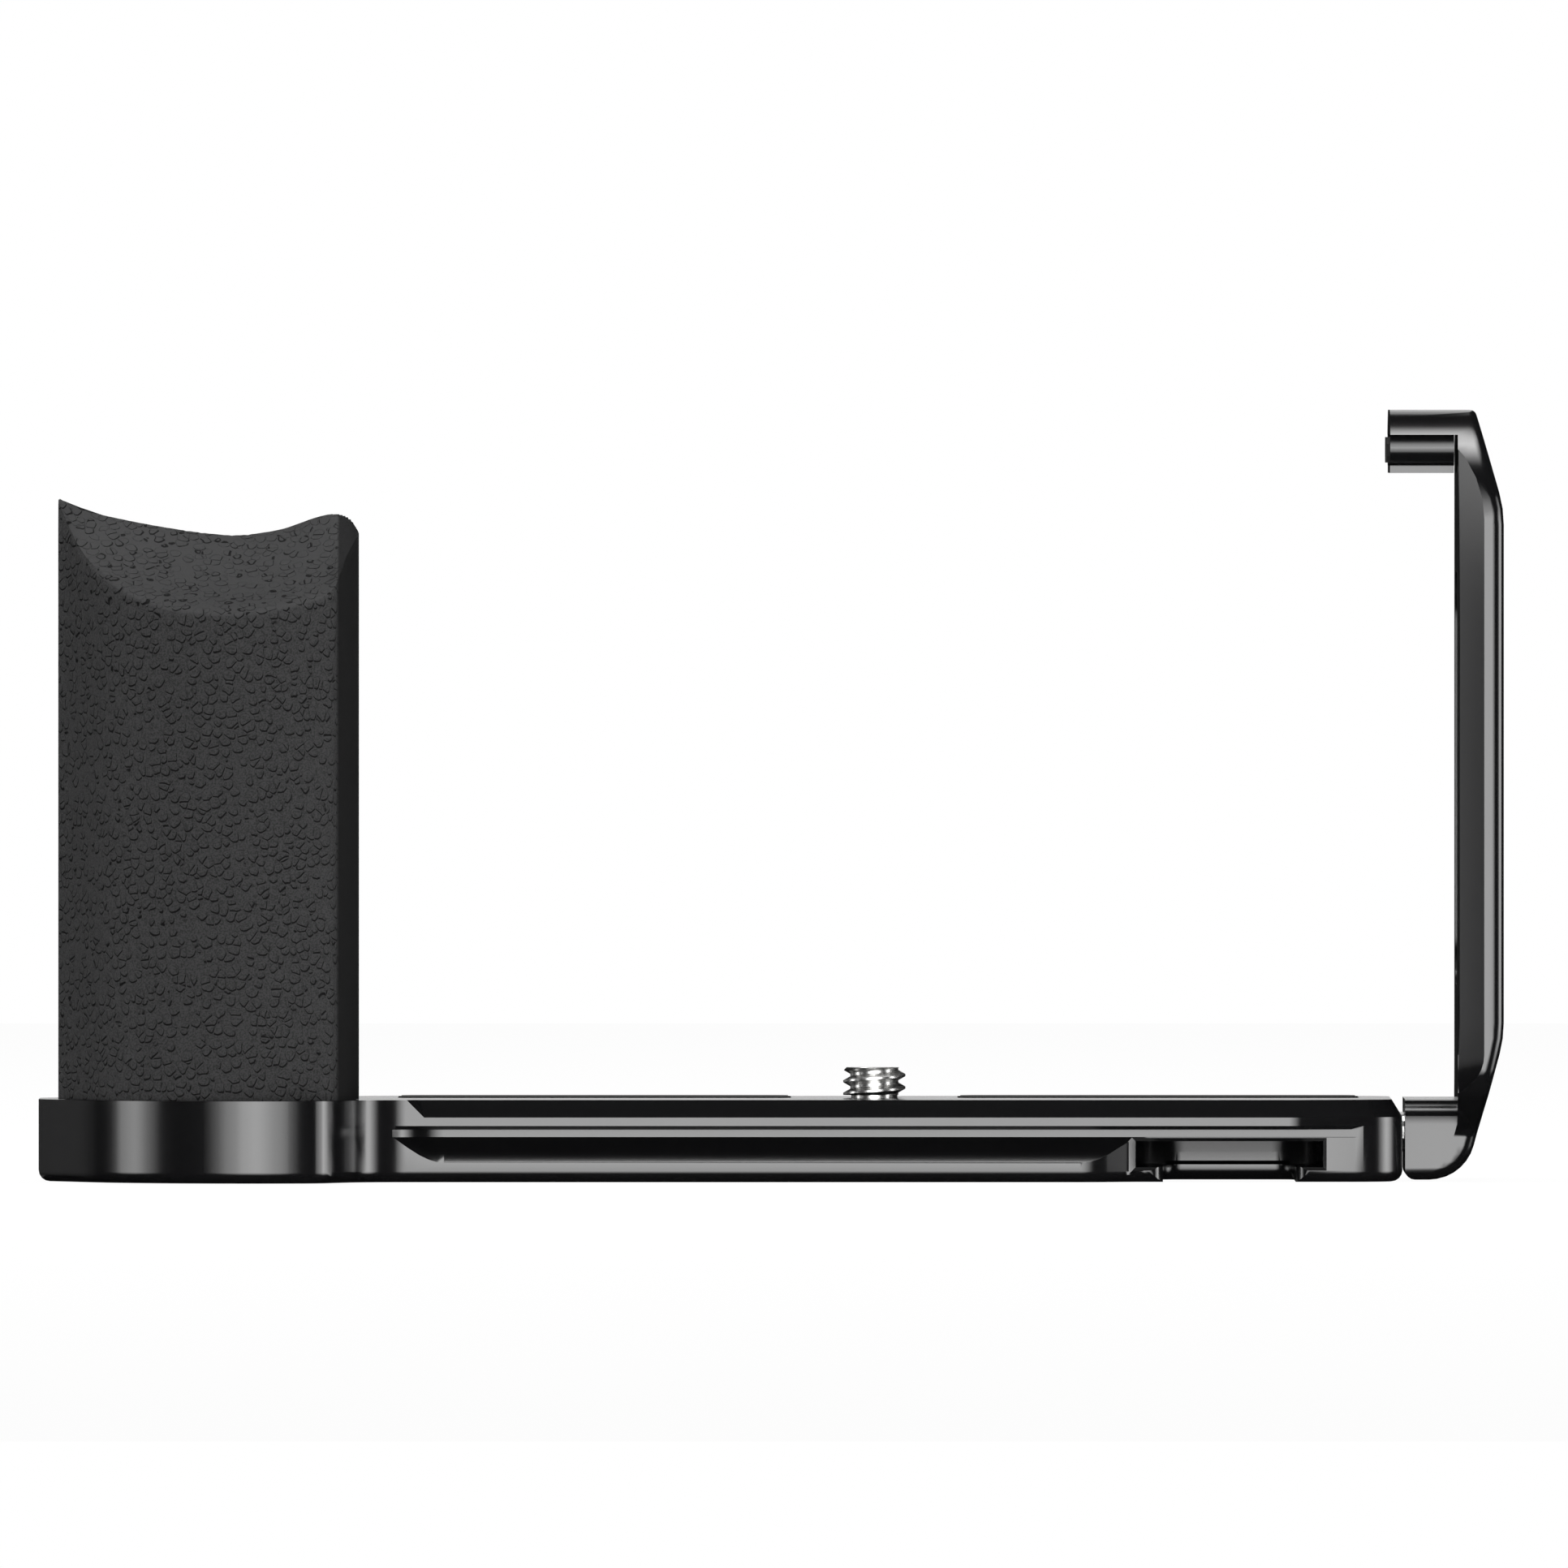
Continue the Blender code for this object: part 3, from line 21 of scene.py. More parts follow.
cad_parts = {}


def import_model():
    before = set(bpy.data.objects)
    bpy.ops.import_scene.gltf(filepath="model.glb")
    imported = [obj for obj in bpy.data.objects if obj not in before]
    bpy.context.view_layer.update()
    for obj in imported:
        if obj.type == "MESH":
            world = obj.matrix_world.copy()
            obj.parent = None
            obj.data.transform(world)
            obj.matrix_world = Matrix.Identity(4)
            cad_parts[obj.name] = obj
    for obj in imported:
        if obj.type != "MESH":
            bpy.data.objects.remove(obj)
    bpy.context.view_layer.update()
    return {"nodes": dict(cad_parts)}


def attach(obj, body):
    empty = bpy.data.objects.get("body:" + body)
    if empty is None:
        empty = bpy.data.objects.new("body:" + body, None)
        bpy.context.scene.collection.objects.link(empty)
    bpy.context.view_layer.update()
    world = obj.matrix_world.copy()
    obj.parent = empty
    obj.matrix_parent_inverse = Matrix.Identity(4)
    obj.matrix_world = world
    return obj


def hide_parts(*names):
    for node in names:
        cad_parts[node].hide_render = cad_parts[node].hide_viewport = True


log = logging.getLogger("l_bracket")

Colour = tuple[float, float, float]
Point = tuple[float, float, float]
Box = tuple[Point, Point]
Span = tuple[float, float]
Number = Union["Value", float]

# Points closer than MERGE become one. A point counts as on a plane when it is within NEAR of it.
MERGE = 0.000002
NEAR = 0.00003


class Value:
    """A number that runs through a material's nodes, with Python's operators for its maths."""

    def __init__(self, recipe: Recipe, socket: bpy.types.NodeSocket) -> None:
        """Wrap one output socket of the recipe's tree."""
        self.recipe = recipe
        self.socket = socket

    def _maths(self, operation: str, *numbers: Number) -> Value:
        """Add one Math node.

        Args:
            operation: The Math node's operation.
            numbers: Its inputs in order, each a Value or a plain number.

        Returns:
            The node's result.
        """
        node = self.recipe.node(
            "ShaderNodeMath", {"operation": operation}, dict(enumerate(numbers))
        )
        return Value(self.recipe, node.outputs[0])

    def __add__(self, other: Number) -> Value:
        """Return self + other."""
        return self._maths("ADD", self, other)

    def __radd__(self, other: Number) -> Value:
        """Return other + self."""
        return self._maths("ADD", other, self)

    def __sub__(self, other: Number) -> Value:
        """Return self - other."""
        return self._maths("SUBTRACT", self, other)

    def __rsub__(self, other: Number) -> Value:
        """Return other - self."""
        return self._maths("SUBTRACT", other, self)

    def __mul__(self, other: Number) -> Value:
        """Return self * other."""
        return self._maths("MULTIPLY", self, other)

    def __rmul__(self, other: Number) -> Value:
        """Return other * self."""
        return self._maths("MULTIPLY", other, self)

    def __abs__(self) -> Value:
        """Return the size of self, without its sign."""
        return self._maths("ABSOLUTE", self)

    def at_least(self, other: Number) -> Value:
        """Return the larger of the two."""
        return self._maths("MAXIMUM", self, other)

    def mixed(self, other: Value, share: float) -> Value:
        """Return that share of self, and the rest of other."""
        return self * share + other * (1.0 - share)

    def eased(self, low: float, high: float) -> Value:
        """Rise smoothly from 0 at low to 1 at high."""
        node = self.recipe.node(
            "ShaderNodeMapRange",
            {"interpolation_type": "SMOOTHSTEP", "clamp": True},
            {"Value": self, "From Min": low, "From Max": high},
        )
        return Value(self.recipe, node.outputs["Result"])


class Recipe:
    """The nodes of one material, from its coordinates to its output."""

    noise_roughness = 0.55

    def __init__(self, tree: bpy.types.NodeTree) -> None:
        """Start with an empty tree."""
        self.tree = tree
        self.tree.nodes.clear()

    @classmethod
    def for_material(cls, name: str) -> tuple[Recipe, bpy.types.Material]:
        """Make a material of that name, and the recipe that fills it."""
        material = bpy.data.materials.new(name)
        material.use_nodes = True
        return cls(material.node_tree), material

    def node(
        self,
        kind: str,
        settings: dict[str, Any] | None = None,
        inputs: dict[str | int, Any] | None = None,
    ) -> bpy.types.Node:
        """Add one node, its settings first and then its sockets.

        Args:
            kind: The node's type.
            settings: Its own settings, by name.
            inputs: Values or links by socket name or number.

        Returns:
            The new node.
        """
        node = self.tree.nodes.new(kind)
        for name, value in (settings or {}).items():
            setattr(node, name, value)
        for name, value in (inputs or {}).items():
            source = value.socket if isinstance(value, Value) else value
            if isinstance(source, bpy.types.NodeSocket):
                self.tree.links.new(source, node.inputs[name])
            else:
                node.inputs[name].default_value = source
        return node

    def position(self, scale: Point = (1.0, 1.0, 1.0)) -> bpy.types.NodeSocket:
        """Return Object coordinates, stretched by the scale."""
        source = self.node("ShaderNodeTexCoord").outputs["Object"]
        mapping = self.node(
            "ShaderNodeMapping", {"vector_type": "POINT"}, {"Vector": source, "Scale": scale}
        )
        return mapping.outputs["Vector"]

    def vector_maths(
        self, operation: str, inputs: dict[str | int, Any]
    ) -> bpy.types.NodeSocket:
        """Return the result of one Vector Math node."""
        node = self.node("ShaderNodeVectorMath", {"operation": operation}, inputs)
        return node.outputs["Vector"]

    def part(self, vector: bpy.types.NodeSocket, axis: str) -> Value:
        """Return one axis of a vector."""
        return Value(self, self.node("ShaderNodeSeparateXYZ", {}, {0: vector}).outputs[axis])

    def noise(
        self, vector: bpy.types.NodeSocket, scale: float, detail: float = 2.0
    ) -> bpy.types.Node:
        """Add a noise of that many spots a metre."""
        return self.node(
            "ShaderNodeTexNoise",
            {"noise_dimensions": "3D"},
            {"Vector": vector, "Scale": scale, "Detail": detail,
             "Roughness": self.noise_roughness},
        )

    def spots(self, vector: bpy.types.NodeSocket, scale: float, detail: float = 2.0) -> Value:
        """Return a noise's value."""
        return Value(self, self.noise(vector, scale, detail).outputs["Fac"])

    def blend(self, factor: Value, low: Colour, high: Colour) -> bpy.types.NodeSocket:
        """Return a colour between two, by the factor. Sockets 6 and 7 are the node's colours."""
        node = self.node(
            "ShaderNodeMix",
            {"data_type": "RGBA", "clamp_factor": True},
            {0: factor, 6: (*low, 1.0), 7: (*high, 1.0)},
        )
        return node.outputs[2]

    def bump(self, height: Value, distance: float, strength: float) -> bpy.types.NodeSocket:
        """Turn a height of 0 to 1 into a normal.

        Args:
            height: The relief's height.
            distance: What a height of 1 stands for, in metres.
            strength: How much of it shows.

        Returns:
            The bumped normal.
        """
        inputs = {"Height": height, "Distance": distance, "Strength": strength}
        return self.node("ShaderNodeBump", {}, inputs).outputs["Normal"]

    def surface(self, inputs: dict[str, Any]) -> None:
        """Add the shader with those sockets, and the output."""
        shader = self.node("ShaderNodeBsdfPrincipled", {}, inputs)
        self.node("ShaderNodeOutputMaterial", {}, {"Surface": shader.outputs["BSDF"]})


@dataclass(frozen=True)
class SatinAnodise:
    """Black anodised aluminium, blasted to a fine even grain before it was dyed."""

    name: str = "satin_black_anodise"
    deep: Colour = (0.0022, 0.0022, 0.0024)
    pale: Colour = (0.0045, 0.0045, 0.0048)
    grain: float = 5200.0
    cloud: float = 160.0
    least_roughness: float = 0.15
    most_roughness: float = 0.2
    tone_share: float = 0.7
    gloss_share: float = 0.6
    specular: float = 0.4
    relief: float = 0.00001
    relief_strength: float = 0.12

    def build(self) -> bpy.types.Material:
        """Return the finished material."""
        recipe, material = Recipe.for_material(self.name)
        place = recipe.position()
        grain = recipe.spots(place, self.grain)
        cloud = recipe.spots(place, self.cloud, detail=4.0)
        span = self.most_roughness - self.least_roughness
        recipe.surface({
            "Base Color": recipe.blend(
                grain.mixed(cloud, self.tone_share), self.deep, self.pale
            ),
            "Roughness": self.least_roughness + span * grain.mixed(cloud, self.gloss_share),
            "Specular IOR Level": self.specular,
            "Normal": recipe.bump(grain, self.relief, self.relief_strength),
        })
        return material


@dataclass(frozen=True)
class TurnedSteel:
    """Bright stainless steel with the fine rings that a lathe leaves."""

    name: str = "turned_steel"
    deep: Colour = (0.66, 0.66, 0.65)
    pale: Colour = (0.86, 0.86, 0.85)
    rings: float = 900.0
    ring_stretch: Point = (0.12, 0.12, 9.0)
    cloud: float = 420.0
    least_roughness: float = 0.22
    most_roughness: float = 0.32
    ring_share: float = 0.5
    relief: float = 0.00001
    relief_strength: float = 0.12

    def build(self) -> bpy.types.Material:
        """Return the finished material."""
        recipe, material = Recipe.for_material(self.name)
        rings = recipe.spots(recipe.position(self.ring_stretch), self.rings, detail=3.0)
        cloud = recipe.spots(recipe.position(), self.cloud)
        span = self.most_roughness - self.least_roughness
        recipe.surface({
            "Base Color": recipe.blend(rings, self.deep, self.pale),
            "Metallic": 1.0,
            "Roughness": self.least_roughness + span * rings.mixed(cloud, self.ring_share),
            "Normal": recipe.bump(rings, self.relief, self.relief_strength),
        })
        return material


@dataclass(frozen=True)
class BlackOxide:
    """Oil-blackened steel of the small screws: dark, a little brown, and worn brighter."""

    name: str = "black_oxide_steel"
    dark: Colour = (0.016, 0.015, 0.014)
    worn: Colour = (0.060, 0.058, 0.055)
    grain: float = 2600.0
    wear: float = 520.0
    worn_span: Span = (0.55, 0.75)
    worn_share: float = 0.6
    metallic: float = 0.55
    roughness: float = 0.3
    grain_roughness: float = 0.18
    worn_gloss: float = 0.05
    relief: float = 0.00002
    relief_strength: float = 0.15

    def build(self) -> bpy.types.Material:
        """Return the finished material."""
        recipe, material = Recipe.for_material(self.name)
        place = recipe.position()
        grain = recipe.spots(place, self.grain, detail=3.0)
        wear = recipe.spots(place, self.wear, detail=5.0).eased(*self.worn_span)
        recipe.surface({
            "Base Color": recipe.blend(wear * self.worn_share, self.dark, self.worn),
            "Metallic": self.metallic,
            "Roughness": self.roughness + grain * self.grain_roughness - wear * self.worn_gloss,
            "Normal": recipe.bump(grain, self.relief, self.relief_strength),
        })
        return material


@dataclass(frozen=True)
class PebbledRubber:
    """Moulded grip rubber: low round pebbles on a grained ground.

    A pebble's underside gets painted shade and its upper side a painted highlight, by comparing
    the pebbles here with those a little way up. Painted shade also darkens the creases round each
    pebble, and a painted top light makes faces that look up lighter. The facet at the grip's
    right side is plain, and painted shade darkens it.
    """

    name: str = "pebbled_grip_rubber"
    # The darkest colour of the painted shade; the blend comes near it only where painted shade
    # falls.
    crease: Colour = (0.0012, 0.0012, 0.0013)
    pebble: Colour = (0.0310, 0.0310, 0.0315)
    cells: float = 880.0
    drift: float = 750.0
    wander: float = 0.00050
    uneven: float = 1500.0
    uneven_share: float = 0.28
    disc_span: Span = (0.62, 0.69)
    gap_span: Span = (0.02, 0.07)
    shade_offset: Point = (-0.00004, 0.0, 0.00013)
    under_span: Span = (0.0, 0.6)
    upper_span: Span = (0.0, 0.9)
    painted_under_shade: float = 0.97
    painted_upper_highlight: float = 0.35
    painted_crease_shade: float = 0.4
    facet_span: Span = (-0.0442, -0.0438)
    painted_facet_shade: float = 0.72
    grain: float = 5600.0
    grain_span: Span = (0.25, 0.75)
    cloud: float = 240.0
    tone: float = 0.4
    grain_light: float = 0.7
    cloud_light: float = 0.1
    upward_span: Span = (0.1, 0.7)
    painted_top_light: float = 0.35
    roughness: float = 0.62
    grain_roughness: float = 0.12
    facet_roughness: float = 0.2
    specular: float = 0.08
    relief: float = 0.00020
    relief_strength: float = 0.6
    grain_relief: float = 0.05

    def pebbles(self, recipe: Recipe, place: bpy.types.NodeSocket) -> Value:
        """Raise the pebbles: discs round scattered points, which wander and run together.

        Args:
            recipe: The material's nodes.
            place: The coordinates that the pebbles follow.

        Returns:
            1 on top of a pebble, 0 on the ground between.
        """
        drift = recipe.noise(place, self.drift, detail=0.0).outputs["Color"]
        centred = recipe.vector_maths("SUBTRACT", {0: drift, 1: (0.5, 0.5, 0.5)})
        shift = recipe.vector_maths("SCALE", {0: centred, "Scale": self.wander})
        bent = recipe.vector_maths("ADD", {0: place, 1: shift})
        away, edge = (
            Value(recipe, recipe.node(
                "ShaderNodeTexVoronoi",
                {"feature": feature},
                {"Vector": bent, "Scale": self.cells, "Randomness": 1.0},
            ).outputs["Distance"])
            for feature in ("F1", "DISTANCE_TO_EDGE")
        )
        uneven = recipe.spots(place, self.uneven, detail=1.0)
        disc = 1.0 - (away + uneven * self.uneven_share).eased(*self.disc_span)
        return disc * edge.eased(*self.gap_span)

    def build(self) -> bpy.types.Material:
        """Return the finished material."""
        recipe, material = Recipe.for_material(self.name)
        place = recipe.position()
        here = self.pebbles(recipe, place)
        over = self.pebbles(recipe, recipe.vector_maths("ADD", {0: place, 1: self.shade_offset}))
        # The right facet has no pebbles and is rougher, and painted shade darkens its colour.
        facet = recipe.part(place, "X").eased(*self.facet_span)
        shown = 1.0 - facet
        # Painted shade under each pebble and a painted highlight on its upper side, from the
        # pebbles a little way up.
        painted_under_shade_mask = (over - here).eased(*self.under_span) * shown
        painted_upper_highlight_mask = (here - over).eased(*self.upper_span) * shown
        # Painted shade in the creases round each pebble, where its height crosses the middle.
        rim = (1.0 - abs(here * 2.0 - 1.0)) * shown
        grain = recipe.spots(place, self.grain, detail=1.0).eased(*self.grain_span)
        cloud = recipe.spots(place, self.cloud)
        # Painted top light: faces that look up get a lighter colour, as under the top lamp.
        facing = recipe.node("ShaderNodeTexCoord").outputs["Normal"]
        upward = recipe.part(facing, "Z").eased(*self.upward_span)
        # The tone mixes the rubber's own grain and cloud with painted top light and painted
        # highlights.
        tone = self.tone + grain * self.grain_light + cloud * self.cloud_light
        tone = tone + upward * self.painted_top_light + painted_upper_highlight_mask * self.painted_upper_highlight
        # Painted shade under the pebbles and in the creases round them darkens the colour.
        painted_shade = (1.0 - painted_under_shade_mask * self.painted_under_shade) * (1.0 - rim * self.painted_crease_shade)
        height = here * shown + grain * self.grain_relief
        recipe.surface({
            "Base Color": recipe.blend(
                tone * painted_shade * (1.0 - facet * self.painted_facet_shade), self.crease, self.pebble
            ),
            "Roughness": self.roughness + grain * self.grain_roughness
            + facet * self.facet_roughness,
            "Specular IOR Level": self.specular,
            "Normal": recipe.bump(height, self.relief, self.relief_strength),
        })
        return material


@dataclass(frozen=True)
class FineRubber:
    """Matt rubber of the anti-slip pads, with a close cross-cut texture.

    A Wave texture of scale 1 has that many bands in one unit of length.
    """

    name: str = "fine_pad_rubber"
    deep: Colour = (0.010, 0.010, 0.010)
    pale: Colour = (0.022, 0.022, 0.022)
    pitch: float = 0.0009
    bands: float = 3.18
    grain: float = 5200.0
    stud_share: float = 0.6
    roughness: float = 0.72
    grain_roughness: float = 0.16
    specular: float = 0.35
    relief: float = 0.00006
    relief_strength: float = 0.6
    grain_relief: float = 0.2

    def build(self) -> bpy.types.Material:
        """Return the finished material."""
        recipe, material = Recipe.for_material(self.name)
        place = recipe.position()
        waves = [
            Value(recipe, recipe.node(
                "ShaderNodeTexWave",
                {"wave_type": "BANDS", "bands_direction": way},
                {"Vector": place, "Scale": 1.0 / self.pitch / self.bands, "Distortion": 0.0},
            ).outputs["Fac"])
            for way in ("X", "Y")
        ]
        studs = waves[0] * waves[1]
        grain = recipe.spots(place, self.grain)
        height = studs + grain * self.grain_relief
        recipe.surface({
            "Base Color": recipe.blend(
                studs.mixed(grain, self.stud_share), self.deep, self.pale
            ),
            "Roughness": self.roughness + grain * self.grain_roughness,
            "Specular IOR Level": self.specular,
            "Normal": recipe.bump(height, self.relief, self.relief_strength),
        })
        return material


class Finish(Enum):
    """The record's material slots, each with the material that dresses it."""

    ANODISED = "anodised"
    STEEL = "steel"
    DARK_STEEL = "dark_steel"
    GRIP_RUBBER = "grip_rubber"
    PAD_RUBBER = "pad_rubber"

    def build(self) -> bpy.types.Material:
        """Make this finish's material."""
        return {
            Finish.ANODISED: SatinAnodise(),
            Finish.STEEL: TurnedSteel(),
            Finish.DARK_STEEL: BlackOxide(),
            Finish.GRIP_RUBBER: PebbledRubber(),
            Finish.PAD_RUBBER: FineRubber(),
        }[self].build()


def cleaned(shape: bmesh.types.BMesh) -> None:
    """Merge the points that lie on one another, and drop the faces that this closes.

    Args:
        shape: The mesh to clean.
    """
    bmesh.ops.remove_doubles(shape, verts=shape.verts, dist=MERGE)
    bmesh.ops.dissolve_degenerate(shape, edges=shape.edges, dist=MERGE)


def trimmed(
    shape: bmesh.types.BMesh, point: Vector, outward: Vector, slack: float = 0.0
) -> list[bmesh.types.BMEdge]:
    """Cut off all that lies beyond a plane.

    Args:
        shape: The mesh to cut.
        point: A point of the plane.
        outward: The plane's normal, towards what goes.
        slack: How close to the plane a point counts as on it.

    Returns:
        The open rim that the cut leaves.
    """
    cut = bmesh.ops.bisect_plane(
        shape, geom=[*shape.verts, *shape.edges, *shape.faces], dist=slack,
        plane_co=point, plane_no=outward, clear_outer=True,
    )
    return [item for item in cut["geom_cut"] if isinstance(item, bmesh.types.BMEdge)]


def along(points: Sequence[Sequence[float]], x: float) -> float:
    """Return the height of a line of points at x, held constant beyond its ends.

    Args:
        points: The line's (x, height) points, from left to right.
        x: Where to read it.

    Returns:
        The height there.
    """
    if x <= points[0][0]:
        return points[0][1]
    for low, high in zip(points, points[1:]):
        if x <= high[0]:
            share = (x - low[0]) / (high[0] - low[0])
            return low[1] + (high[1] - low[1]) * share
    return points[-1][1]


@dataclass
class Workshop:
    """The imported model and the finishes, and the ways to bring a piece into the scene."""

    nodes: dict[str, bpy.types.Object]
    finishes: dict[Finish, bpy.types.Material]

    def dress(self, names: Iterable[str], finish: Finish) -> None:
        """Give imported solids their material.

        Args:
            names: The nodes to dress.
            finish: The finish of all of them.
        """
        for name in names:
            node = self.nodes[name]
            if not node.material_slots:
                node.data.materials.append(self.finishes[finish])
            for slot in node.material_slots:
                slot.material = self.finishes[finish]
            log.info("%s keeps its solid, finished in %s", name, finish.value)

    def merged(self, name: str, flat_deg: float) -> bmesh.types.BMesh:
        """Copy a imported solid's mesh, with its loose triangles joined.

        Args:
            name: The node to copy.
            flat_deg: Faces that meet at less than this angle become one.

        Returns:
            The joined copy.
        """
        shape = bmesh.new()
        shape.from_mesh(self.nodes[name].data)
        cleaned(shape)
        bmesh.ops.dissolve_limit(
            shape, angle_limit=math.radians(flat_deg), verts=shape.verts, edges=shape.edges
        )
        bmesh.ops.recalc_face_normals(shape, faces=shape.faces)
        return shape

    def piece(
        self, name: str, shape: bmesh.types.BMesh, finish: Finish, body: str, stands_for: str,
        sharp_deg: float,
    ) -> bpy.types.Object:
        """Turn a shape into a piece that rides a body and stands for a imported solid.

        Args:
            name: The piece's name.
            shape: Its mesh, which is used up.
            finish: Its finish.
            body: The body that it rides.
            stands_for: The node that it replaces.
            sharp_deg: Edges that turn by more than this stay sharp.

        Returns:
            The piece.
        """
        for face in shape.faces:
            face.smooth = True
        for edge in shape.edges:
            turn = edge.calc_face_angle(math.pi)
            edge.smooth = turn < math.radians(sharp_deg)
        mesh = bpy.data.meshes.new(name)
        shape.to_mesh(mesh)
        shape.free()
        item = bpy.data.objects.new(name, mesh)
        bpy.context.scene.collection.objects.link(item)
        mesh.materials.append(self.finishes[finish])
        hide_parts(stands_for)
        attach(item, body)
        log.info("%s stands for %s, %d faces", name, stands_for, len(mesh.polygons))
        return item


@dataclass(frozen=True)
class FrontEdge:
    """The front edge of a plan outline: straight runs that meet in rounded corners."""

    corners: tuple[Point, ...]
    step_deg: float = 3.0

    def points(self) -> list[Vector]:
        """Return the edge's points from left to right, each corner (x, y, radius) rounded."""
        found = [Vector(self.corners[0][:2])]
        for before, here, after in zip(self.corners, self.corners[1:], self.corners[2:]):
            corner = Vector(here[:2])
            way_in = (corner - Vector(before[:2])).normalized()
            way_out = (Vector(after[:2]) - corner).normalized()
            turn = math.atan2(way_in.cross(way_out), way_in.dot(way_out))
            start = corner - way_in * here[2] * math.tan(turn / 2)
            centre = start + Vector((-way_in.y, way_in.x)) * here[2]
            steps = max(2, round(math.degrees(turn) / self.step_deg))
            for step in range(steps + 1):
                found.append(centre + Matrix.Rotation(turn * step / steps, 2) @ (start - centre))
        found.append(Vector(self.corners[-1][:2]))
        return found


@dataclass
class MilledPlate:
    """A milled and blasted plate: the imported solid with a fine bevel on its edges.

    The bevel's overlap clamp stays on and holds it far below edge_radius, so the edges come out
    nearly sharp.
    """

    node: str
    name: str
    body: str
    flat_deg: float = 0.2
    edge_radius: float = 0.00007
    edge_steps: int = 2
    sharp_deg: float = 30.0

    def refine(self, shape: bmesh.types.BMesh) -> None:
        """Change nothing more on a plain plate."""

    @staticmethod
    def slice_at(shape: bmesh.types.BMesh, axis: int, place: float, box: Box) -> None:
        """Cut a row of points through the faces that lie in a box.

        Args:
            shape: The mesh to cut.
            axis: The axis that the cut is square to.
            place: Where it lies on that axis.
            box: The lowest and the highest corner of the box.
        """
        inside = [
            face for face in shape.faces
            if all(
                low <= value <= high
                for vert in face.verts for low, value, high in zip(box[0], vert.co, box[1])
            )
        ]
        edges = dict.fromkeys(edge for face in inside for edge in face.edges)
        verts = dict.fromkeys(vert for face in inside for vert in face.verts)
        square = Vector([float(way == axis) for way in range(3)])
        bmesh.ops.bisect_plane(
            shape, geom=[*verts, *edges, *inside], plane_co=square * place, plane_no=square
        )

    def build(self, shop: Workshop) -> bpy.types.Object:
        """Make the plate.

        Args:
            shop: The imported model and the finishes.

        Returns:
            The plate's piece.
        """
        shape = shop.merged(self.node, self.flat_deg)
        self.refine(shape)
        plate = shop.piece(
            self.name, shape, Finish.ANODISED, self.body, self.node, self.sharp_deg
        )
        bevel = plate.modifiers.new("broken_edges", "BEVEL")
        bevel.width = self.edge_radius
        bevel.segments = self.edge_steps
        bevel.angle_limit = math.radians(self.sharp_deg)
        shading = plate.modifiers.new("flat_faces_stay_flat", "WEIGHTED_NORMAL")
        shading.keep_sharp = True
        return plate


